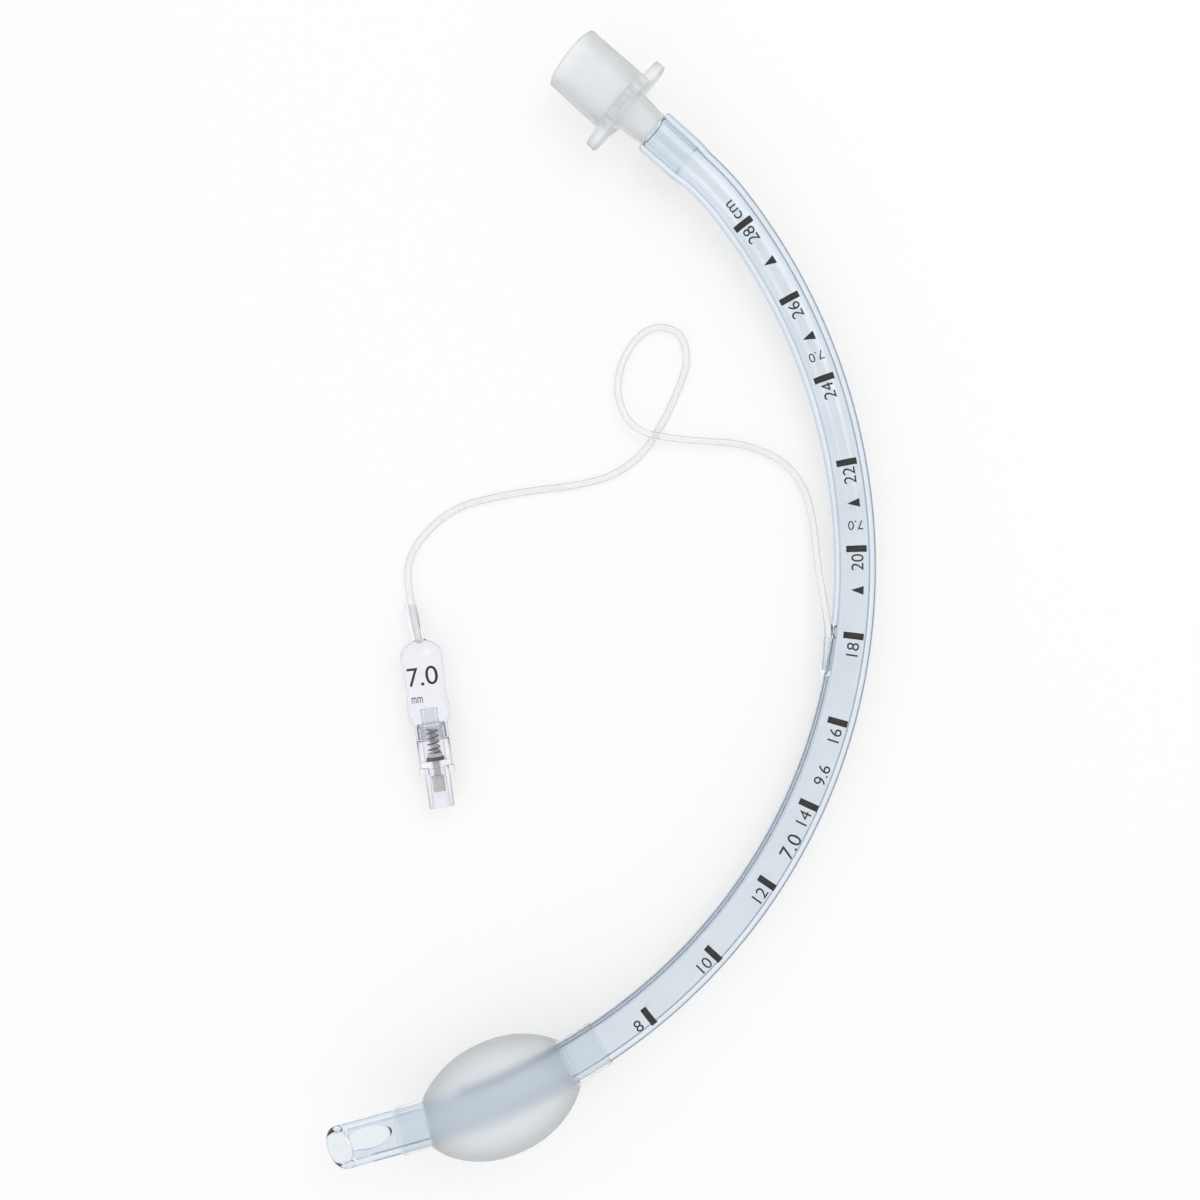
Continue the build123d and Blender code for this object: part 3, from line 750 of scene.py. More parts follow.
def tube_wall():
    """The tube's whole wall as one closed ring of rows: outside, machine end, inside and the rounded bevel.

    Each wall line starts where it meets the bevel's plane. The rows are slanted there and even out along the
    tube. Both edges of the bevel are rounded over the rim's length e: at a pull p from 0 to 1 the radius has
    moved by e p^2, and the row stands e (1 - p)^2 behind the bevel's plane.
    """
    airway, connector = bpy.context.scene.airway, bpy.context.scene.connector_sizes
    angles = circle()
    near = np.linspace(0, 1, TIP_ROWS) ** 1.2
    socket_start = TUBE_LENGTH - MACHINE_STRAIGHT
    far = np.concatenate(
        [
            np.linspace(EVEN_FROM, socket_start - 1 * MM, LENGTH_ROWS)[1:],
            np.linspace(socket_start - 0.6 * MM, TUBE_LENGTH - END_ROUND, END_ROWS),
        ]
    )
    rows, radii = [], []

    def add(distance, radius):
        rows.append(np.broadcast_to(distance, angles.shape))
        radii.append(np.broadcast_to(radius, angles.shape))

    outer, inner, rim = airway.outer / 2, airway.bore / 2, airway.rim_round
    outer_start = bevel_distance(airway, outer, angles) + rim
    for step in near:
        add(outer_start + (EVEN_FROM - outer_start) * step, outer)
    for distance in far:
        add(distance, socket_outer_radius(airway, connector, distance))
    end_outer = socket_outer_radius(airway, connector, TUBE_LENGTH)
    end_inner = socket_inner_radius(airway, connector, TUBE_LENGTH)
    for step in (0.25, 0.6, 0.9, 1.0):
        add(TUBE_LENGTH - END_ROUND * (1 - step), end_outer - END_ROUND * (1 - sqrt(1 - step**2)))
    add(TUBE_LENGTH, end_inner)
    for distance in far[::-1]:
        add(distance, socket_inner_radius(airway, connector, distance))
    inner_start = bevel_distance(airway, inner, angles) + rim
    for step in near[::-1]:
        add(inner_start + (EVEN_FROM - inner_start) * step, inner)
    pulls = np.linspace(0, 1, 6)[1:]
    for corner, side, turns in ((inner, 1, pulls), (outer, -1, pulls[::-1])):
        for pull in turns:
            radius = corner + side * rim * pull**2
            add(bevel_distance(airway, radius, angles) + rim * (1 - pull) ** 2, radius)
    rows, radii = np.array(rows), np.array(radii)
    grid = carried(rows, radii, np.broadcast_to(angles, rows.shape))
    return grid_mesh("airway_tube", grid, along=rows)


def cut_away(piece, cutters):
    """Cuts closed shapes out of a piece for good, and removes them."""
    for cutter in cutters:
        cut = piece.modifiers.new("cut", "BOOLEAN")
        cut.object = cutter
        cut.operation = "DIFFERENCE"
        cut.solver = "EXACT"
    view = bpy.context.evaluated_depsgraph_get()
    view.update()
    made = bpy.data.meshes.new_from_object(piece.evaluated_get(view))
    piece.modifiers.clear()
    old = piece.data
    piece.data = made
    made.name = piece.name
    bpy.data.meshes.remove(old)
    for cutter in cutters:
        bpy.data.objects.remove(cutter)


def eye_cutter(airway):
    """An elliptic post from the axis out through the wall opposite the bevel, wider at the outside.

    Its rings are given as (share of the tube's outer diameter from the axis, widening in millimetres).
    """
    points, tangents, up, side = airway_frames([airway.eye_centre])
    turn = radians(airway.tip_turn)
    outwards = -cos(turn) * up - sin(turn) * side[0]
    across = np.cross(tangents[0], outwards)
    angles = circle(72)
    post = [
        (0.0, 0), (0.3, 0), (0.36, 0), (0.4, 0.02), (0.43, 0.07), (0.455, 0.15), (0.475, 0.27), (0.5, 0.45),
        (0.8, 0.45),
    ]
    depths, flare = np.array(post).T * np.array([[airway.outer], [MM]])
    long = airway.eye_length / 2 + flare[:, None]
    wide = airway.eye_width / 2 + flare[:, None]
    grid = (
        points[0]
        + depths[:, None, None] * outwards
        + (long * np.cos(angles))[..., None] * tangents[0]
        + (wide * np.sin(angles))[..., None] * across
    )
    return closed_post("eye_cutter", grid)


def closed_post(name, grid):
    """A post of stacked rings, closed at its two ends, as an object."""
    caps = [np.broadcast_to(ring.mean(axis=0), ring.shape) for ring in (grid[0], grid[-1])]
    mesh = grid_mesh(name, np.concatenate([caps[0][None], grid, caps[1][None]]), wrap_rows=False)
    tidy_mesh(mesh, weld=1e-6)
    post = bpy.data.objects.new(name, mesh)
    bpy.context.scene.collection.objects.link(post)
    return post


def notch_cutter(airway):
    """An oval body that cuts the notch into the outside of the wall, beside the pocket's mouth."""
    points, tangents, up, side = airway_frames([airway.pocket_end + airway.notch_length / 2])
    angles, heights = circle(40), np.linspace(-1, 1, 15)[:, None]
    waist = np.sqrt(np.clip(1 - heights**2, 0.02, 1))
    centre = points[0] - side[0] * airway.outer / 2
    grid = (
        centre
        + (heights * airway.notch_depth * np.ones_like(angles))[..., None] * up
        + (waist * airway.notch_length / 2 * np.cos(angles))[..., None] * tangents[0]
        + (waist * airway.notch_depth * np.sin(angles))[..., None] * side[0]
    )
    return closed_post("notch_cutter", grid)


class AIRWAY_OT_tube(bpy.types.Operator):
    """Add the airway tube with its bevel, side eye, pocket, channel and marker line"""

    bl_idname = "airway.tube"
    bl_label = "Airway tube"

    def execute(self, context):
        airway = context.scene.airway
        mesh = tube_wall()
        tidy_mesh(mesh)
        tube = add_piece("airway_tube", mesh, tube_material(), ["main_tube"])
        cut_away(tube, [eye_cutter(airway), notch_cutter(airway)])
        tidy_mesh(tube.data)
        self.add_pocket(airway, context.scene.balloon_sizes)
        self.add_threads(airway, context.scene.finishes)
        return {"FINISHED"}

    def add_round(self, name, distances, radii, offset, count, material):
        """A closed round body beside the tube's centre line, from the distances and radii of its rings."""
        grid = carried(*rings(distances, radii, count), offset=offset)
        mesh = grid_mesh(name, grid, wrap_rows=False, along=distances)
        tidy_mesh(mesh, weld=2e-6)
        add_piece(name, mesh, material, ["main_tube"])

    def add_pocket(self, airway, balloon):
        """The sleeve for the inflation line: a blunt nose, a straight outside and a bore."""
        outer, bore = airway.pocket / 2, balloon.line / 2 + LINE_CLEARANCE
        nose_end, mouth, lip = airway.pocket_start + outer, airway.pocket_end, airway.pocket_lip
        nose = np.linspace(0, 1, 10)
        distances = np.concatenate(
            [
                airway.pocket_start + outer * (1 - np.cos(nose * np.pi / 2)),
                np.linspace(nose_end, mouth - lip, 16)[1:],
                [mouth - 0.04 * MM, mouth, mouth],
                np.linspace(mouth, nose_end, 12),
                [nose_end],
            ]
        )
        radii = np.concatenate(
            [
                outer * np.sin(nose * np.pi / 2),
                np.full(15, outer),
                [outer - 0.04 * MM, outer - lip, bore + 0.08 * MM],
                np.full(12, bore),
                [0.0],
            ]
        )
        self.add_round("line_pocket", distances, radii, -airway.pocket_offset, 40, pocket_material())

    def add_threads(self, airway, finishes):
        """The inflation channel and the marker line, each a fine thread inside the wall."""
        middle = (airway.outer + airway.bore) / 4
        channel = (airway.channel_start, airway.pocket_start)
        stripe = (airway.stripe_start, TUBE_LENGTH - 0.5 * MM)
        threads = {
            "air_channel": (airway.channel, -middle, *channel, finishes.channel),
            "marker_line": (airway.stripe, middle, *stripe, finishes.stripe),
        }
        for name, (width, offset, start, end, tint) in threads.items():
            distances = np.concatenate([[start], np.linspace(start, end, 170), [end]])
            radii = np.concatenate([[0], np.full(170, width / 2), [0]])
            thread = finish_material(
                name + "_finish", tint, clouds=200.0, Roughness=0.3, Transmission_Weight=0.6, IOR=1.3
            )
            self.add_round(name, distances, radii, offset, 12, thread)


def polar_stadium(angles, span, width):
    """Radius of a stadium at each angle from straight up.

    Its long way runs to the side. The straight side is at half / |cos a|, and the round end at the far
    crossing with the end's circle, run |sin a| + sqrt(half^2 - run^2 cos^2 a).
    """
    half = width / 2
    run = span / 2 - half
    cosine, sine = np.abs(np.cos(angles)), np.abs(np.sin(angles))
    side = half / np.maximum(cosine, 1e-6)
    cap = run * sine + np.sqrt(np.maximum(half**2 - (run * cosine) ** 2, 0))
    return np.where(side * sine <= run, side, cap)


def flange_radius(sizes, angles):
    """Outline of the flange: a circle with round flutes cut in, and the two ears laid over it."""
    radius = sizes.flange / 2
    hub = radius - sizes.flute_depth + sizes.flute_width / 2
    pitch = 2 * np.pi / sizes.flute_count
    nearest = (angles % pitch) - pitch / 2
    room = (sizes.flute_width / 2) ** 2 - (hub * np.sin(nearest)) ** 2
    flute = hub * np.cos(nearest) - np.sqrt(np.maximum(room, 0))
    fluted = np.where(room > 0, np.minimum(flute, radius), radius)
    return np.maximum(fluted, polar_stadium(angles, sizes.ear_span, sizes.ear_width))


class AIRWAY_OT_connector(bpy.types.Operator):
    """Add the moulded connector: cone, fluted flange, ears and barrel as one closed surface"""

    bl_idname = "airway.connector"
    bl_label = "Connector"

    def execute(self, context):
        sizes = context.scene.connector_sizes
        points, tangents, up, _ = airway_frames([TUBE_LENGTH])
        angles = circle(384)
        seat, back = -sizes.barrel_seat, sizes.barrel_open
        front = back + sizes.flange_thickness
        mouth = front + sizes.cone_length
        shape = flange_radius(sizes, angles)
        corner, fillet = sizes.corner, sizes.root_fillet
        bore, end = sizes.barrel_bore / 2, sizes.barrel_end / 2
        waist, root = sizes.barrel_waist / 2, sizes.barrel_root / 2
        cone_root, cone_mouth = sizes.cone_flange / 2, sizes.cone_mouth / 2
        throat, mouth_bore = sizes.throat_bore / 2, sizes.mouth_bore / 2
        rows = []

        def ring(distance, radius):
            rows.append((distance, np.broadcast_to(radius, angles.shape)))

        def run(start, end, start_radius, end_radius, count):
            for step in np.linspace(0, 1, count):
                ring(start + (end - start) * step, start_radius + (end_radius - start_radius) * step)

        # Outside, from the barrel's inner end to the lip: barrel, fillet, flange with ears, cone
        ring(seat, bore + 0.1 * MM)
        ring(seat, end - 0.15 * MM)
        ring(seat + 0.15 * MM, end)
        run(seat + 0.4 * MM, 0, end, waist, 8)
        run(0.6 * MM, back - fillet - 0.1 * MM, waist, root, 8)
        for rise, fall in quarter(6):
            ring(back - fillet * rise, root + fillet * fall)
        ring(back, shape - 2 * corner)
        for rise, fall in quarter(5):
            ring(back + corner * fall, shape - corner * rise)
        ring((back + front) / 2, shape)
        for rise, fall in quarter(5):
            ring(front - corner * rise, shape - corner * fall)
        ring(front, np.maximum(shape - 2 * corner, cone_root + GAP))
        ring(front, cone_root + GAP / 2)
        run(front + 0.3 * MM, mouth - 0.5 * MM, cone_root, cone_mouth, 12)
        middle = (cone_mouth + mouth_bore) / 2
        for turn in np.linspace(0, np.pi, 9):
            ring(mouth - sizes.lip * (1 - sin(turn)), middle + (cone_mouth - middle) * cos(turn))

        # Inside, back again: the cone's bore, the step in the throat, the barrel's bore
        run(mouth - 2 * sizes.lip, back + sizes.throat + 0.4 * MM, mouth_bore, throat, 10)
        run(back + sizes.throat, back + 0.3 * MM, throat - 0.3 * MM, bore + 0.3 * MM, 6)
        run(back, seat + 0.1 * MM, bore, bore, 8)

        distances = np.array([distance for distance, _ in rows])[:, None] * np.ones_like(angles)
        radii = np.array([radius for _, radius in rows])
        around = np.broadcast_to(angles, radii.shape)
        grid = turned_about(points[0], tangents[0], up, distances, radii, around)
        mesh = grid_mesh("connector_moulding", grid, along=distances)
        tidy_mesh(mesh, sharp=50)
        add_piece("connector_moulding", mesh, connector_material(), ["connector"])

        # The faces before the tube's end are the barrel inside the tube, and take the second material
        mesh.materials.append(seated_material())
        middles = np.array([polygon.center for polygon in mesh.polygons])
        seated = ((middles - points[0]) @ tangents[0] < 0).astype(np.int32)
        mesh.polygons.foreach_set("material_index", seated)
        return {"FINISHED"}


def swell_radius(cuff, shares):
    """Radius of the swell at shares of its length from -1 to 1: collar + rise (1 - |x|^2.2)^0.88."""
    collar = cuff.collar / 2
    return collar + (cuff.outer / 2 - collar) * np.clip(1 - np.abs(shares) ** 2.2, 0, 1) ** 0.88


class AIRWAY_OT_cuff(bpy.types.Operator):
    """Add the inflated cuff as one closed film with soft folds beside its collars"""

    bl_idname = "airway.cuff"
    bl_label = "Cuff"

    def execute(self, context):
        cuff, airway = context.scene.cuff_sizes, context.scene.airway
        swell_start = cuff.start + cuff.distal_collar
        swell_end = swell_start + cuff.length
        end = swell_end + cuff.proximal_collar
        steps = 0.5 * (1 - np.cos(np.linspace(0, np.pi, 90)))
        distances = np.concatenate(
            [
                np.linspace(cuff.start, swell_start, 12)[:-1],
                swell_start + cuff.length * steps,
                np.linspace(swell_end, end, 14)[1:],
            ]
        )
        angles = circle(192)
        shares = np.clip((distances - swell_start) / cuff.length * 2 - 1, -1, 1)
        radii = swell_radius(cuff, shares)[:, None] * np.ones_like(angles)

        # Soft folds: two sine waves round each end, turned differently at the two ends
        near_end = np.exp(-(((np.abs(shares) - cuff.fold_place) / cuff.fold_reach) ** 2))[:, None]
        side = np.where(shares < 0, 1.0, 2.0)[:, None]
        waves = 0.6 * np.sin(cuff.folds * angles + side)
        waves = waves + 0.4 * np.sin((cuff.folds + 6) * angles + 2.3 * side)
        outside = radii - cuff.pucker * near_end * (1 + waves) / 2
        on_tube = airway.outer / 2 + GAP
        inside = np.maximum(outside - cuff.wall, on_tube)
        inside[(shares <= -1) | (shares >= 1)] = on_tube
        both = np.concatenate([outside, inside[::-1]])
        along = np.concatenate([distances, distances[::-1]])[:, None] * np.ones_like(angles)
        mesh = grid_mesh("cuff_film", carried(along, both, np.broadcast_to(angles, both.shape)), along=along)

        # The swell is frosted up to its ends, and each collar has a narrow, half frosted band near its end
        swell = np.minimum(along - swell_start, swell_end - along)
        bands = [cuff.start + 1.0 * MM, end - 0.5 * MM]
        nearest = np.min([np.abs(along - band) for band in bands], axis=0)
        frosted = np.clip(np.maximum(swell / (1.2 * MM), 0.4 - nearest / (1.6 * MM)), 0, 1)
        frost = mesh.attributes.new("frost", "FLOAT", "POINT")
        frost.data.foreach_set("value", frosted.ravel().astype(np.float32))
        tidy_mesh(mesh, sharp=60)
        add_piece("cuff_film", mesh, cuff_material(), ["cuff"])
        return {"FINISHED"}


def valve_axis():
    """Origin at the socket's mouth, the axis towards the balloon and the upward axis."""
    heading = radians(VALVE_HEADING)
    origin = np.array([*VALVE_MOUTH, bpy.context.scene.valve_sizes.barrel / 2])
    return origin, np.array([cos(heading), sin(heading), 0.0]), np.array([0.0, 0.0, 1.0])


def valve_ring(name, corners, round_by=0.15 * MM, count=AROUND, outline=None):
    """A closed ring turned about the valve's axis from (distance, radius) corners.

    outline, where given, is a function of (distances, radii, angles) that reshapes the radii.
    """
    distances, radii, angles = rings(*rounded_path(corners, round_by).T, count)
    if outline is not None:
        radii = outline(distances, radii, angles)
    mesh = grid_mesh(name, turned_about(*valve_axis(), distances, radii, angles), along=distances)
    tidy_mesh(mesh, weld=1e-6, sharp=55)
    return mesh


def valve_levels(sizes):
    """Distances along the valve's axis: the barrel's end, the seat, the seal and the spring's two ends."""
    barrel_top = sizes.luer_length + sizes.barrel_length
    seat_face = sizes.luer_length + sizes.seat_thickness
    seal_face = seat_face + sizes.seal_thickness
    spring_bottom = seal_face + sizes.spring_flange_thickness
    spring_top = barrel_top - sizes.cap_floor
    return barrel_top, seat_face, seal_face, spring_bottom, spring_top


class AIRWAY_OT_valve(bpy.types.Operator):
    """Add the valve: clear body with its lugs, clear cap, plunger, rubber seal and spring"""

    bl_idname = "airway.valve"
    bl_label = "Valve"

    def execute(self, context):
        sizes, finishes = context.scene.valve_sizes, context.scene.finishes
        balloon = context.scene.balloon_sizes
        clear = valve_material()
        barrel_top, seat_face, seal_face, spring_bottom, spring_top = valve_levels(sizes)
        barrel, chamber, seat_bore, floor_bore = (
            width / 2 for width in (sizes.barrel, sizes.chamber, sizes.seat_bore, sizes.floor_bore)
        )
        step = barrel_top - balloon.collar_length
        under_sleeve = barrel - balloon.wall - GAP
        shoulder, luer = sizes.luer_length, sizes.luer / 2
        lug_back = shoulder - sizes.lug_thickness
        body = [
            (0, sizes.mouth_bore / 2), (0, luer), (lug_back, luer), (lug_back, luer + GAP),
            (shoulder, luer + GAP), (shoulder, barrel), (step, barrel), (step, under_sleeve),
            (barrel_top, under_sleeve), (barrel_top, chamber), (seat_face, chamber), (seat_face, seat_bore),
            (shoulder, seat_bore), (shoulder, floor_bore), (sizes.taper_length, floor_bore),
        ]

        def with_lugs(distances, radii, angles):
            lug = np.minimum(polar_stadium(angles, sizes.lug_span, sizes.lug_width), sizes.lug_span / 2)
            on_lug = (distances > lug_back + 0.001 * MM) & (distances < shoulder) & (radii > luer)
            return np.where(on_lug, np.maximum(radii, lug), radii)

        mesh = valve_ring("valve_housing", body, count=192, outline=with_lugs)
        add_piece("valve_housing", mesh, clear, ["valve_body"])

        plug_start, plug = barrel_top - sizes.cap_plug, chamber - 0.05 * MM
        flange_top = barrel_top + sizes.cap_flange_thickness
        nozzle_top = flange_top + sizes.nozzle_length
        cap_bore, cap_flange, nozzle, nozzle_bore = (
            width / 2 for width in (sizes.cap_bore, sizes.cap_flange, sizes.nozzle, sizes.nozzle_bore)
        )
        cap = [
            (plug_start, cap_bore), (plug_start, plug), (barrel_top, plug), (barrel_top, cap_flange),
            (flange_top, cap_flange), (flange_top, nozzle), (nozzle_top, nozzle), (nozzle_top, nozzle_bore),
            (spring_top, nozzle_bore), (spring_top, cap_bore),
        ]
        mesh = valve_ring("valve_insert", cap, 0.1 * MM)
        add_piece("valve_insert", mesh, clear, ["valve_cap"])

        # The plunger is turned as a ring too, so a hole as wide as a hair runs along its axis
        piston_start, hair = sizes.piston_recess, 0.01 * MM
        piston_end = piston_start + sizes.piston_length
        rim_end = piston_end + sizes.piston_rim_thickness
        stem_end = spring_top - 0.2 * MM
        piston, rim, stem, collar = (
            width / 2 for width in (sizes.piston, sizes.piston_rim, sizes.stem, sizes.spring_flange)
        )
        plunger = [
            (piston_start, hair), (piston_start, piston), (piston_end, piston), (piston_end, rim),
            (rim_end, rim), (rim_end, stem), (seal_face, stem), (seal_face, collar), (spring_bottom, collar),
            (spring_bottom, stem), (stem_end, stem), (stem_end, hair),
        ]
        beige = solid_material("beige_moulding", finishes.plunger, 0.45)
        mesh = valve_ring("valve_stem", plunger, 0.12 * MM, count=64)
        add_piece("valve_stem", mesh, beige, ["valve_plunger"], PLUNGER_BODY)

        rubber_edge = sizes.seal / 2
        seal = [(seat_face, stem), (seat_face, rubber_edge), (seal_face, rubber_edge), (seal_face, stem)]
        rubber = solid_material("dark_rubber", finishes.seal, 0.75, bump=0.3)
        mesh = valve_ring("seal_disc", seal, count=64)
        add_piece("seal_disc", mesh, rubber, ["valve_seal"], PLUNGER_BODY)
        self.add_spring(sizes, finishes, spring_bottom, spring_top)
        return {"FINISHED"}

    def add_spring(self, sizes, finishes, bottom, top):
        """Round wire on a helix, with a pitch that is widest half way up.

        The wire's middle is o + h(t) axis + R (cos a up + sin a side), where a grows evenly with t. The
        height h is a share (2 t)^1.35 / 2 of the spring's height up to t = 1/2, and the same turned about
        after that.
        """
        origin, direction, up = valve_axis()
        side = np.cross(direction, up)
        turns, half = sizes.turns, sizes.wire / 2
        t = np.linspace(0, 1, 420)
        turn = 2 * np.pi * turns * t
        low, high = bottom + half, top - half
        lift = np.where(t < 0.5, 0.5 * (2 * t) ** 1.35, 1 - 0.5 * (2 - 2 * t) ** 1.35)
        heights = low + (high - low) * lift
        reach = sizes.spring / 2 - half
        radial = np.cos(turn)[:, None] * up + np.sin(turn)[:, None] * side
        middle = origin + heights[:, None] * direction + reach * radial
        tangent = np.gradient(middle, axis=0)
        tangent /= np.linalg.norm(tangent, axis=1)[:, None]
        binormal = np.cross(tangent, radial)
        ring = circle(12)
        wire = middle[:, None] + half * (
            np.cos(ring)[None, :, None] * radial[:, None] + np.sin(ring)[None, :, None] * binormal[:, None]
        )
        ends = [np.broadcast_to(middle[i], wire[i].shape)[None] for i in (0, -1)]
        mesh = grid_mesh("spring_coil", np.concatenate([ends[0], wire, ends[1]]), wrap_rows=False)
        tidy_mesh(mesh, weld=1e-6)
        steel = solid_material("spring_steel", finishes.spring, 0.3, metallic=1.0)
        spring = add_piece("spring_coil", mesh, steel, ["valve_spring"])
        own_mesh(spring)


def balloon_stations():
    """The balloon's stations as (distance along its axis, half width, half height), and where it ends.

    From the collar on the barrel it widens over the taper and narrows a little to the waist. It ends in a
    shoulder, which is a quarter ellipse down to the neck.
    """
    scene = bpy.context.scene
    sizes, valve = scene.balloon_sizes, scene.valve_sizes
    barrel_top = valve_levels(valve)[0]
    collar = valve.barrel / 2
    end = barrel_top + sizes.length
    stations = [
        (barrel_top - sizes.collar_length, collar, collar),
        (barrel_top, collar, collar),
        (barrel_top + sizes.taper / 2, (collar + sizes.width) / 3, collar),
        (barrel_top + sizes.taper, sizes.width / 2, collar),
        (barrel_top + sizes.length * 0.42, sizes.waist / 2, sizes.height / 2 - 0.25 * MM),
    ]
    for step in (0, 0.25, 0.5, 0.7, 5 / 6, 0.93):
        rounding = sqrt(1 - step**2)
        stations.append(
            (
                end - sizes.shoulder * (1 - step),
                max(sizes.width / 2 * rounding, sizes.neck / 2),
                max(sizes.height / 2 * rounding, sizes.neck / 2),
            )
        )
    stations.append((end, sizes.neck / 2, sizes.neck / 2))
    return np.array(stations), end


def neck_line():
    """Root of the neck, on the valve's axis just inside the shoulder, and the neck's own direction."""
    origin, direction, _ = valve_axis()
    _, end = balloon_stations()
    heading, drop = radians(NECK_HEADING), radians(NECK_DROP)
    way = np.array([cos(heading) * cos(drop), sin(heading) * cos(drop), -sin(drop)])
    return origin + (end - bpy.context.scene.balloon_sizes.neck / 4) * direction, way


class AIRWAY_OT_balloon(bpy.types.Operator):
    """Add the pilot balloon: a flattened sleeve with its collar, waist, shoulder and neck"""

    bl_idname = "airway.balloon"
    bl_label = "Pilot balloon"

    def execute(self, context):
        sizes = context.scene.balloon_sizes
        origin, direction, up = valve_axis()
        side = np.cross(direction, up)
        stations, end = balloon_stations()
        distances = np.concatenate(
            [np.linspace(stations[0, 0], end - 1 * MM, 90), np.linspace(end - 0.9 * MM, end, 12)]
        )
        halves = [smooth_profile(distances, stations[:, 0], stations[:, k], 0.5 * MM) for k in (1, 2)]
        neck_root, neck_way = neck_line()
        neck_steps = np.linspace(0.6 * MM, sizes.neck_length, 20)
        centres = np.concatenate(
            [origin + distances[:, None] * direction, neck_root + neck_steps[:, None] * neck_way]
        )
        angles = circle()
        bore = sizes.line / 2 + LINE_CLEARANCE

        def skin(inset, neck):
            """Rings of one face of the film, inset from the outside, with the given radius in the neck."""
            neck_part = np.full(20, neck)
            wide, high = (
                np.concatenate([np.maximum(half - inset, bore), neck_part])[:, None] for half in halves
            )
            return (
                centres[:, None]
                + (high * np.cos(angles))[..., None] * up
                + (wide * np.sin(angles))[..., None] * side
            )

        grid = np.concatenate([skin(0.0, sizes.neck / 2), skin(sizes.wall, bore)[::-1]])
        mesh = grid_mesh("balloon_sleeve", grid)
        tidy_mesh(mesh, sharp=60)
        add_piece("balloon_sleeve", mesh, balloon_material(), ["pilot_balloon"])
        return {"FINISHED"}


def figure_mesh(text, height, cuts=0.4 * MM):
    """Flat figures of the built-in font as a bmesh, centred, of a given height along Y, cut into strips."""
    curve = bpy.data.curves.new("figure", "FONT")
    curve.body = text
    curve.resolution_u = 6
    carrier = bpy.data.objects.new("figure", curve)
    bpy.context.scene.collection.objects.link(carrier)
    view = bpy.context.evaluated_depsgraph_get()
    view.update()
    flat = bpy.data.meshes.new_from_object(carrier.evaluated_get(view))
    bpy.data.objects.remove(carrier)
    bpy.data.curves.remove(curve)
    shape = bmesh.new()
    shape.from_mesh(flat)
    bpy.data.meshes.remove(flat)
    bmesh.ops.remove_doubles(shape, verts=shape.verts, dist=1e-5)
    places = np.array([vertex.co for vertex in shape.verts])
    low, high = places.min(axis=0), places.max(axis=0)
    scale = height / (high[1] - low[1])
    for vertex in shape.verts:
        vertex.co = (vertex.co - Vector((low + high) / 2)) * scale
    for axis in range(2):
        reach = (high[axis] - low[axis]) / 2 * scale
        normal = [0.0, 0.0, 0.0]
        normal[axis] = 1.0
        for place in np.arange(-reach, reach, cuts):
            point = [0.0, 0.0, 0.0]
            point[axis] = place
            whole = shape.verts[:] + shape.edges[:] + shape.faces[:]
            bmesh.ops.bisect_plane(shape, geom=whole, plane_co=point, plane_no=normal, dist=1e-7)
    return shape


def bar_mesh(width, height):
    """A flat bar, long along X, in strips."""
    columns, rows = np.meshgrid(np.linspace(-width / 2, width / 2, 15), [-height / 2, height / 2])
    return bmesh_of(np.stack([columns, rows, 0 * rows], axis=-1))


def arrow_mesh(base, height):
    """A flat triangle with its point along X, in strips."""
    steps = np.linspace(0, 1, 10)
    columns, half = height * (steps - 0.5), base / 2 * (1 - steps)
    return bmesh_of(np.stack([np.stack([columns, sign * half, 0 * steps], axis=-1) for sign in (-1, 1)]))


def bmesh_of(grid):
    """A bmesh of an open grid, with its poles merged."""
    mesh = grid_mesh("flat", grid, wrap_rows=False, wrap_columns=False)
    shape = bmesh.new()
    shape.from_mesh(mesh)
    bpy.data.meshes.remove(mesh)
    bmesh.ops.remove_doubles(shape, verts=shape.verts, dist=1e-7)
    return shape


def wrap_on_tube(shape, distance, aside, along, radius, lift):
    """Lays a flat shape on the top of the tube, and returns its points.

    With along set, X runs to the machine end and Y to the concave side. Otherwise X runs to the concave side
    and Y to the tip. The arc across is divided by the radius to give the angle.
    """
    flat = np.array([vertex.co for vertex in shape.verts])
    if along:
        distances, arcs = distance + flat[:, 0], aside - flat[:, 1]
    else:
        distances, arcs = distance - flat[:, 1], aside - flat[:, 0]
    return carried(distances, np.full(len(flat), radius + lift), arcs / radius)


def merge_shapes(name, shapes):
    """One mesh from (bmesh, points) pairs."""
    vertices, faces = [], []
    start = 0
    for shape, points in shapes:
        shape.verts.index_update()
        vertices.extend(points.tolist())
        faces.extend([[vertex.index + start for vertex in face.verts] for face in shape.faces])
        start += len(points)
        shape.free()
    mesh = bpy.data.meshes.new(name)
    mesh.from_pydata(vertices, [], faces)
    mesh.update()
    return mesh


def ink_piece(name, shapes, material):
    """Printed shapes as one thin layer of ink, its faces turned upwards before it gets its thickness."""
    mesh = merge_shapes(name, shapes)
    if sum(polygon.normal.z for polygon in mesh.polygons) < 0:
        mesh.flip_normals()
    mesh.shade_smooth()
    piece = add_piece(name, mesh, material, ())
    layer = piece.modifiers.new("ink", "SOLIDIFY")
    layer.thickness = bpy.context.scene.print_settings.ink
    layer.offset = 1.0


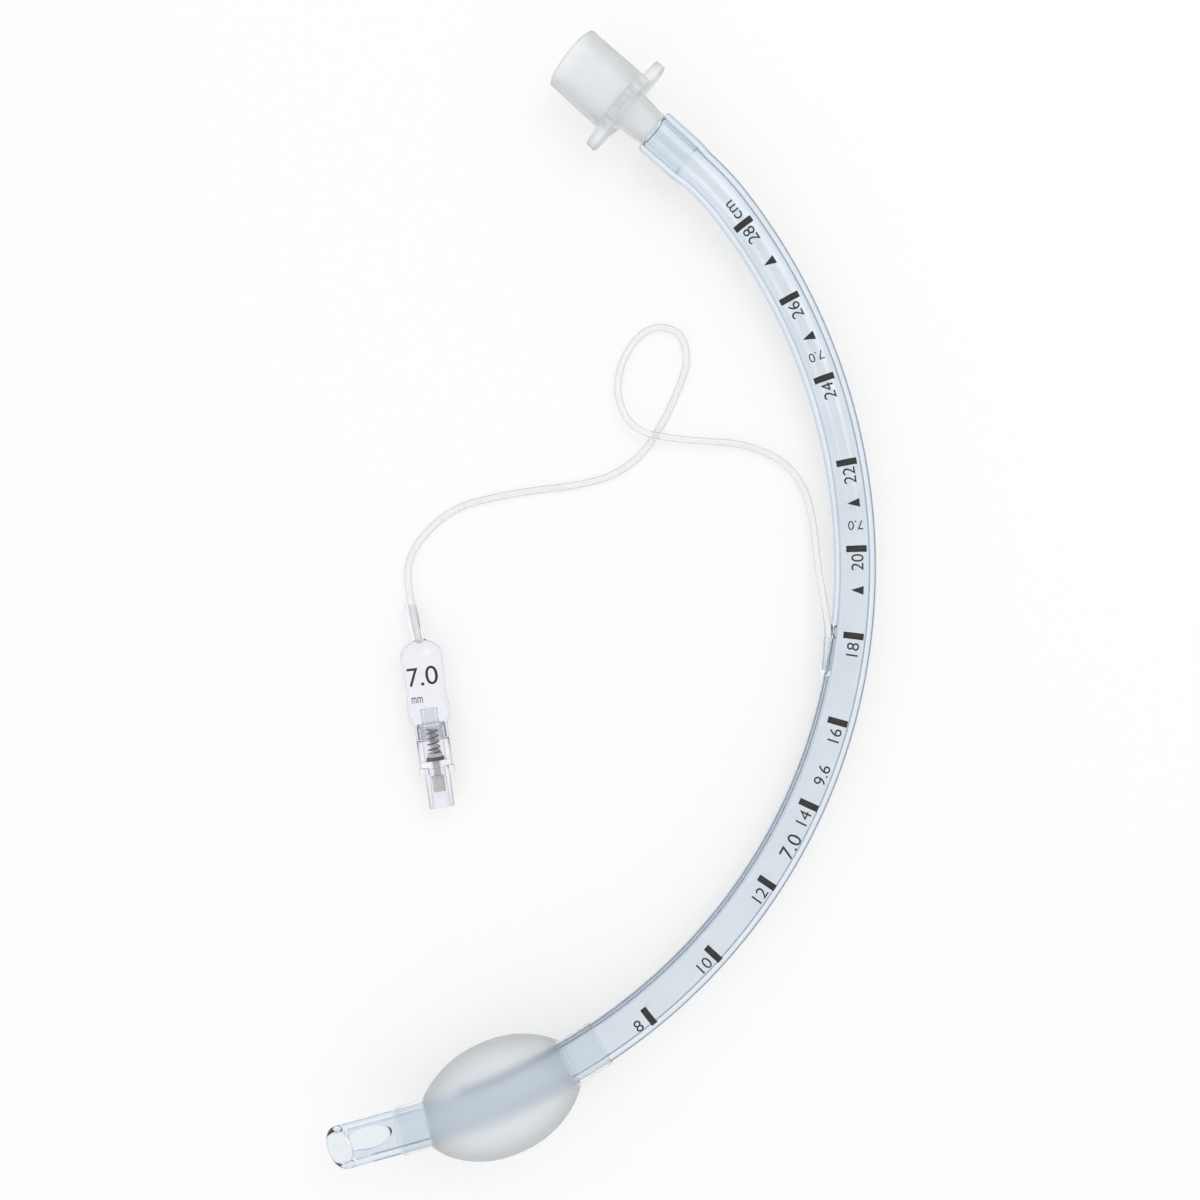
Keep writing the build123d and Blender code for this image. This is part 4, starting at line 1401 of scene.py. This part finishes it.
class AIRWAY_OT_print(bpy.types.Operator):
    """Add the printed scale on the tube and the figures on the balloon"""

    bl_idname = "airway.print"
    bl_label = "Printed scale"

    def execute(self, context):
        scene = context.scene
        settings, radius = scene.print_settings, scene.airway.outer / 2
        shapes = []

        def lay(shape, place, aside, along=True):
            """Adds a shape at a place from the tip and to the side, both in millimetres."""
            distance = place * MM
            aside = aside * MM + settings.aside + settings.drift * (distance - TUBE_LENGTH / 2)
            shapes.append((shape, wrap_on_tube(shape, distance, aside, along, radius, settings.lift)))

        for mark in range(settings.first_mark, settings.last_mark + 1, settings.step):
            place = mark * 10 + settings.start / MM
            lay(bar_mesh(settings.bar_width, settings.bar_height), place, 0.0, False)
            lay(figure_mesh(str(mark), settings.figure), place - 3.1, 0.1)
        for place in ARROW_PLACES:
            lay(arrow_mesh(settings.arrow_base, settings.arrow_height), place, 0.1, False)
        for place in SMALL_FIGURE_PLACES:
            lay(figure_mesh("7.0", settings.small_figure), place, 0.1, False)
        lay(figure_mesh("7.0", settings.large_figure), *INSIDE_PLACE)
        lay(figure_mesh("9.6", settings.figure), *OUTSIDE_PLACE)
        lay(figure_mesh("cm", settings.unit), *UNIT_PLACE)
        ink = solid_material("black_ink", scene.finishes.ink, 0.5, clouds=900.0, bump=0.2)
        ink_piece("scale_print", shapes, ink)
        self.add_balloon_print(scene, ink)
        return {"FINISHED"}

    def add_balloon_print(self, scene, ink):
        """Two lines of print across the balloon's top, laid on its elliptic section."""
        settings = scene.print_settings
        origin, direction, up = valve_axis()
        side = np.cross(direction, up)
        stations, _ = balloon_stations()
        shapes = []
        print_heights = (settings.balloon_figure, settings.balloon_unit)
        for (text, place, aside, narrow), height in zip(BALLOON_LINES, print_heights):
            shape = figure_mesh(text, height)
            flat = np.array([vertex.co for vertex in shape.verts]) * (narrow, 1, 1) + (aside * MM, 0, 0)
            distances = place * MM + flat[:, 1]
            wide = np.interp(distances, stations[:, 0], stations[:, 1])
            high = np.interp(distances, stations[:, 0], stations[:, 2])
            top = high * np.sqrt(np.clip(1 - (flat[:, 0] / wide) ** 2, 0, 1)) + settings.lift
            points = origin + distances[:, None] * direction + flat[:, :1] * side + top[:, None] * up
            shapes.append((shape, points))
        ink_piece("balloon_print", shapes, ink)


class AIRWAY_OT_line(bpy.types.Operator):
    bl_idname = "airway.line"
    bl_label = "Inflation line"

    def execute(self, context):
        airway, balloon = context.scene.airway, context.scene.balloon_sizes
        floor = airway.pocket_start + (airway.outer - airway.bore) / 2
        places = np.array([floor, airway.pocket_end])
        entry = carried(places, np.zeros(2), np.zeros(2), offset=-airway.pocket_offset)
        neck_root, neck_way = neck_line()
        points = [*entry, *LINE_ROUTE, neck_root + balloon.neck_length * neck_way, neck_root]
        curve = bpy.data.curves.new("inflation_tubing", "CURVE")
        curve.dimensions = "3D"
        curve.bevel_depth = balloon.line / 2
        curve.bevel_resolution = 5
        curve.resolution_u = 12
        curve.use_fill_caps = True
        spline = curve.splines.new("NURBS")
        spline.points.add(len(points) - 1)
        for point, place in zip(spline.points, points):
            point.co = (*place, 1.0)
        spline.order_u = 3
        spline.use_endpoint_u = True
        curve.materials.append(line_material())
        piece = bpy.data.objects.new("inflation_tubing", curve)
        context.scene.collection.objects.link(piece)
        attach(piece, SET_BODY)
        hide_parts("inflation_line")
        return {"FINISHED"}


def area_lamp(name, place, power):
    """A square soft lamp turned to the origin."""
    lamp = bpy.data.lights.new(name, "AREA")
    lamp.size = LAMP_WIDTH
    lamp.energy = power
    holder = bpy.data.objects.new(name, lamp)
    bpy.context.scene.collection.objects.link(holder)
    holder.location = place
    holder.rotation_euler = (-Vector(place)).to_track_quat("-Z", "Y").to_euler()


def ray_switch(nodes, links, kinds):
    """The larger of several Light Path outputs: 1 for such rays and 0 for the others."""
    path = nodes.new("ShaderNodeLightPath")
    out = path.outputs[kinds[0]]
    for kind in kinds[1:]:
        larger = nodes.new("ShaderNodeMath")
        larger.operation = "MAXIMUM"
        links.new(out, larger.inputs[0])
        links.new(path.outputs[kind], larger.inputs[1])
        out = larger.outputs[0]
    return out


SEEN_RAYS = ("Is Camera Ray", "Is Glossy Ray", "Is Transmission Ray")


class AIRWAY_OT_stage(bpy.types.Operator):
    """Add the pale floor, the soft lamps, the white surroundings and the camera"""

    bl_idname = "airway.stage"
    bl_label = "Stage"

    def execute(self, context):
        settings = context.scene.stage_settings
        self.add_floor(settings)
        self.add_sky(context.scene, settings)
        area_lamp("key_lamp", KEY_PLACE, settings.key)
        area_lamp("fill_lamp", FILL_PLACE, settings.fill)
        camera = bpy.data.cameras.new("camera")
        camera.lens = settings.lens
        camera.sensor_width = 36.0
        camera.clip_start = 0.01
        holder = bpy.data.objects.new("camera", camera)
        context.scene.collection.objects.link(holder)
        holder.location = (0, 0, settings.height)
        context.scene.camera = holder
        context.scene.view_settings.view_transform = "Standard"
        return {"FINISHED"}

    def add_floor(self, settings):
        """A wide matt floor, seen partly as plain white, so that it stays pale and keeps its shadow."""
        corners = [(x * FLOOR_REACH, y * FLOOR_REACH, 0) for x, y in ((-1, -1), (1, -1), (1, 1), (-1, 1))]
        mesh = bpy.data.meshes.new("floor")
        mesh.from_pydata(corners, [], [(0, 1, 2, 3)])
        floor = bpy.data.objects.new("floor", mesh)
        bpy.context.scene.collection.objects.link(floor)
        material = bpy.data.materials.new("pale_floor")
        material.use_nodes = True
        nodes, links = material.node_tree.nodes, material.node_tree.links
        shader = nodes["Principled BSDF"]
        shader.inputs["Base Color"].default_value = (*settings.floor, 1)
        shader.inputs["Roughness"].default_value = 0.9
        glow, mixed, larger = (nodes.new("ShaderNode" + kind) for kind in ("Emission", "MixShader", "Math"))
        larger.operation = "MAXIMUM"
        glows = [(SEEN_RAYS[:1], settings.glow), (SEEN_RAYS[1:], settings.clear_glow)]
        for slot, (kinds, value) in enumerate(glows):
            strength = nodes.new("ShaderNodeMath")
            strength.operation = "MULTIPLY"
            strength.inputs[1].default_value = value
            links.new(ray_switch(nodes, links, kinds), strength.inputs[0])
            links.new(strength.outputs[0], larger.inputs[slot])
        links.new(larger.outputs[0], mixed.inputs["Fac"])
        links.new(shader.outputs["BSDF"], mixed.inputs[1])
        links.new(glow.outputs["Emission"], mixed.inputs[2])
        links.new(mixed.outputs["Shader"], nodes["Material Output"].inputs["Surface"])
        mesh.materials.append(material)

    def add_sky(self, scene, settings):
        """Plain light from all round: white to the rays that see it, dimmer to those that it lights."""
        world = bpy.data.worlds.new("surroundings")
        scene.world = world
        world.use_nodes = True
        nodes, links = world.node_tree.nodes, world.node_tree.links
        ground = nodes["Background"]
        ground.inputs["Color"].default_value = (1, 1, 1, 1)
        strength = nodes.new("ShaderNodeMapRange")
        strength.inputs["To Min"].default_value = settings.sky
        strength.inputs["To Max"].default_value = 1.0
        links.new(ray_switch(nodes, links, SEEN_RAYS), strength.inputs["Value"])
        links.new(strength.outputs["Result"], ground.inputs["Strength"])


class AIRWAY_PT_panel(bpy.types.Panel):
    """Lists the pieces in the 3D view's sidebar."""

    bl_label = "Airway tube"
    bl_idname = "AIRWAY_PT_panel"
    bl_space_type = "VIEW_3D"
    bl_region_type = "UI"
    bl_category = "Airway tube"

    def draw(self, context):
        for operator in OPERATORS:
            self.layout.operator(operator.bl_idname)


OPERATORS = [
    AIRWAY_OT_stage,
    AIRWAY_OT_tube,
    AIRWAY_OT_connector,
    AIRWAY_OT_cuff,
    AIRWAY_OT_balloon,
    AIRWAY_OT_valve,
    AIRWAY_OT_print,
    AIRWAY_OT_line,
]
CLASSES = [*PROPERTY_GROUPS.values(), *OPERATORS, AIRWAY_PT_panel]


def register():
    """Registers the classes and hangs the settings on the scene."""
    for each in CLASSES:
        bpy.utils.register_class(each)
    for name, group in PROPERTY_GROUPS.items():
        setattr(bpy.types.Scene, name, PointerProperty(type=group))


def unregister():
    """Takes the settings and the classes away again."""
    for name in PROPERTY_GROUPS:
        delattr(bpy.types.Scene, name)
    for each in reversed(CLASSES):
        bpy.utils.unregister_class(each)


def main():
    """Builds everything in order."""
    register()
    bpy.ops.airway.stage()
    bpy.ops.airway.tube()
    bpy.ops.airway.connector()
    bpy.ops.airway.cuff()
    bpy.ops.airway.balloon()
    bpy.ops.airway.valve()
    bpy.ops.airway.print()
    bpy.ops.airway.line()


if __name__ == "__main__":
    main()
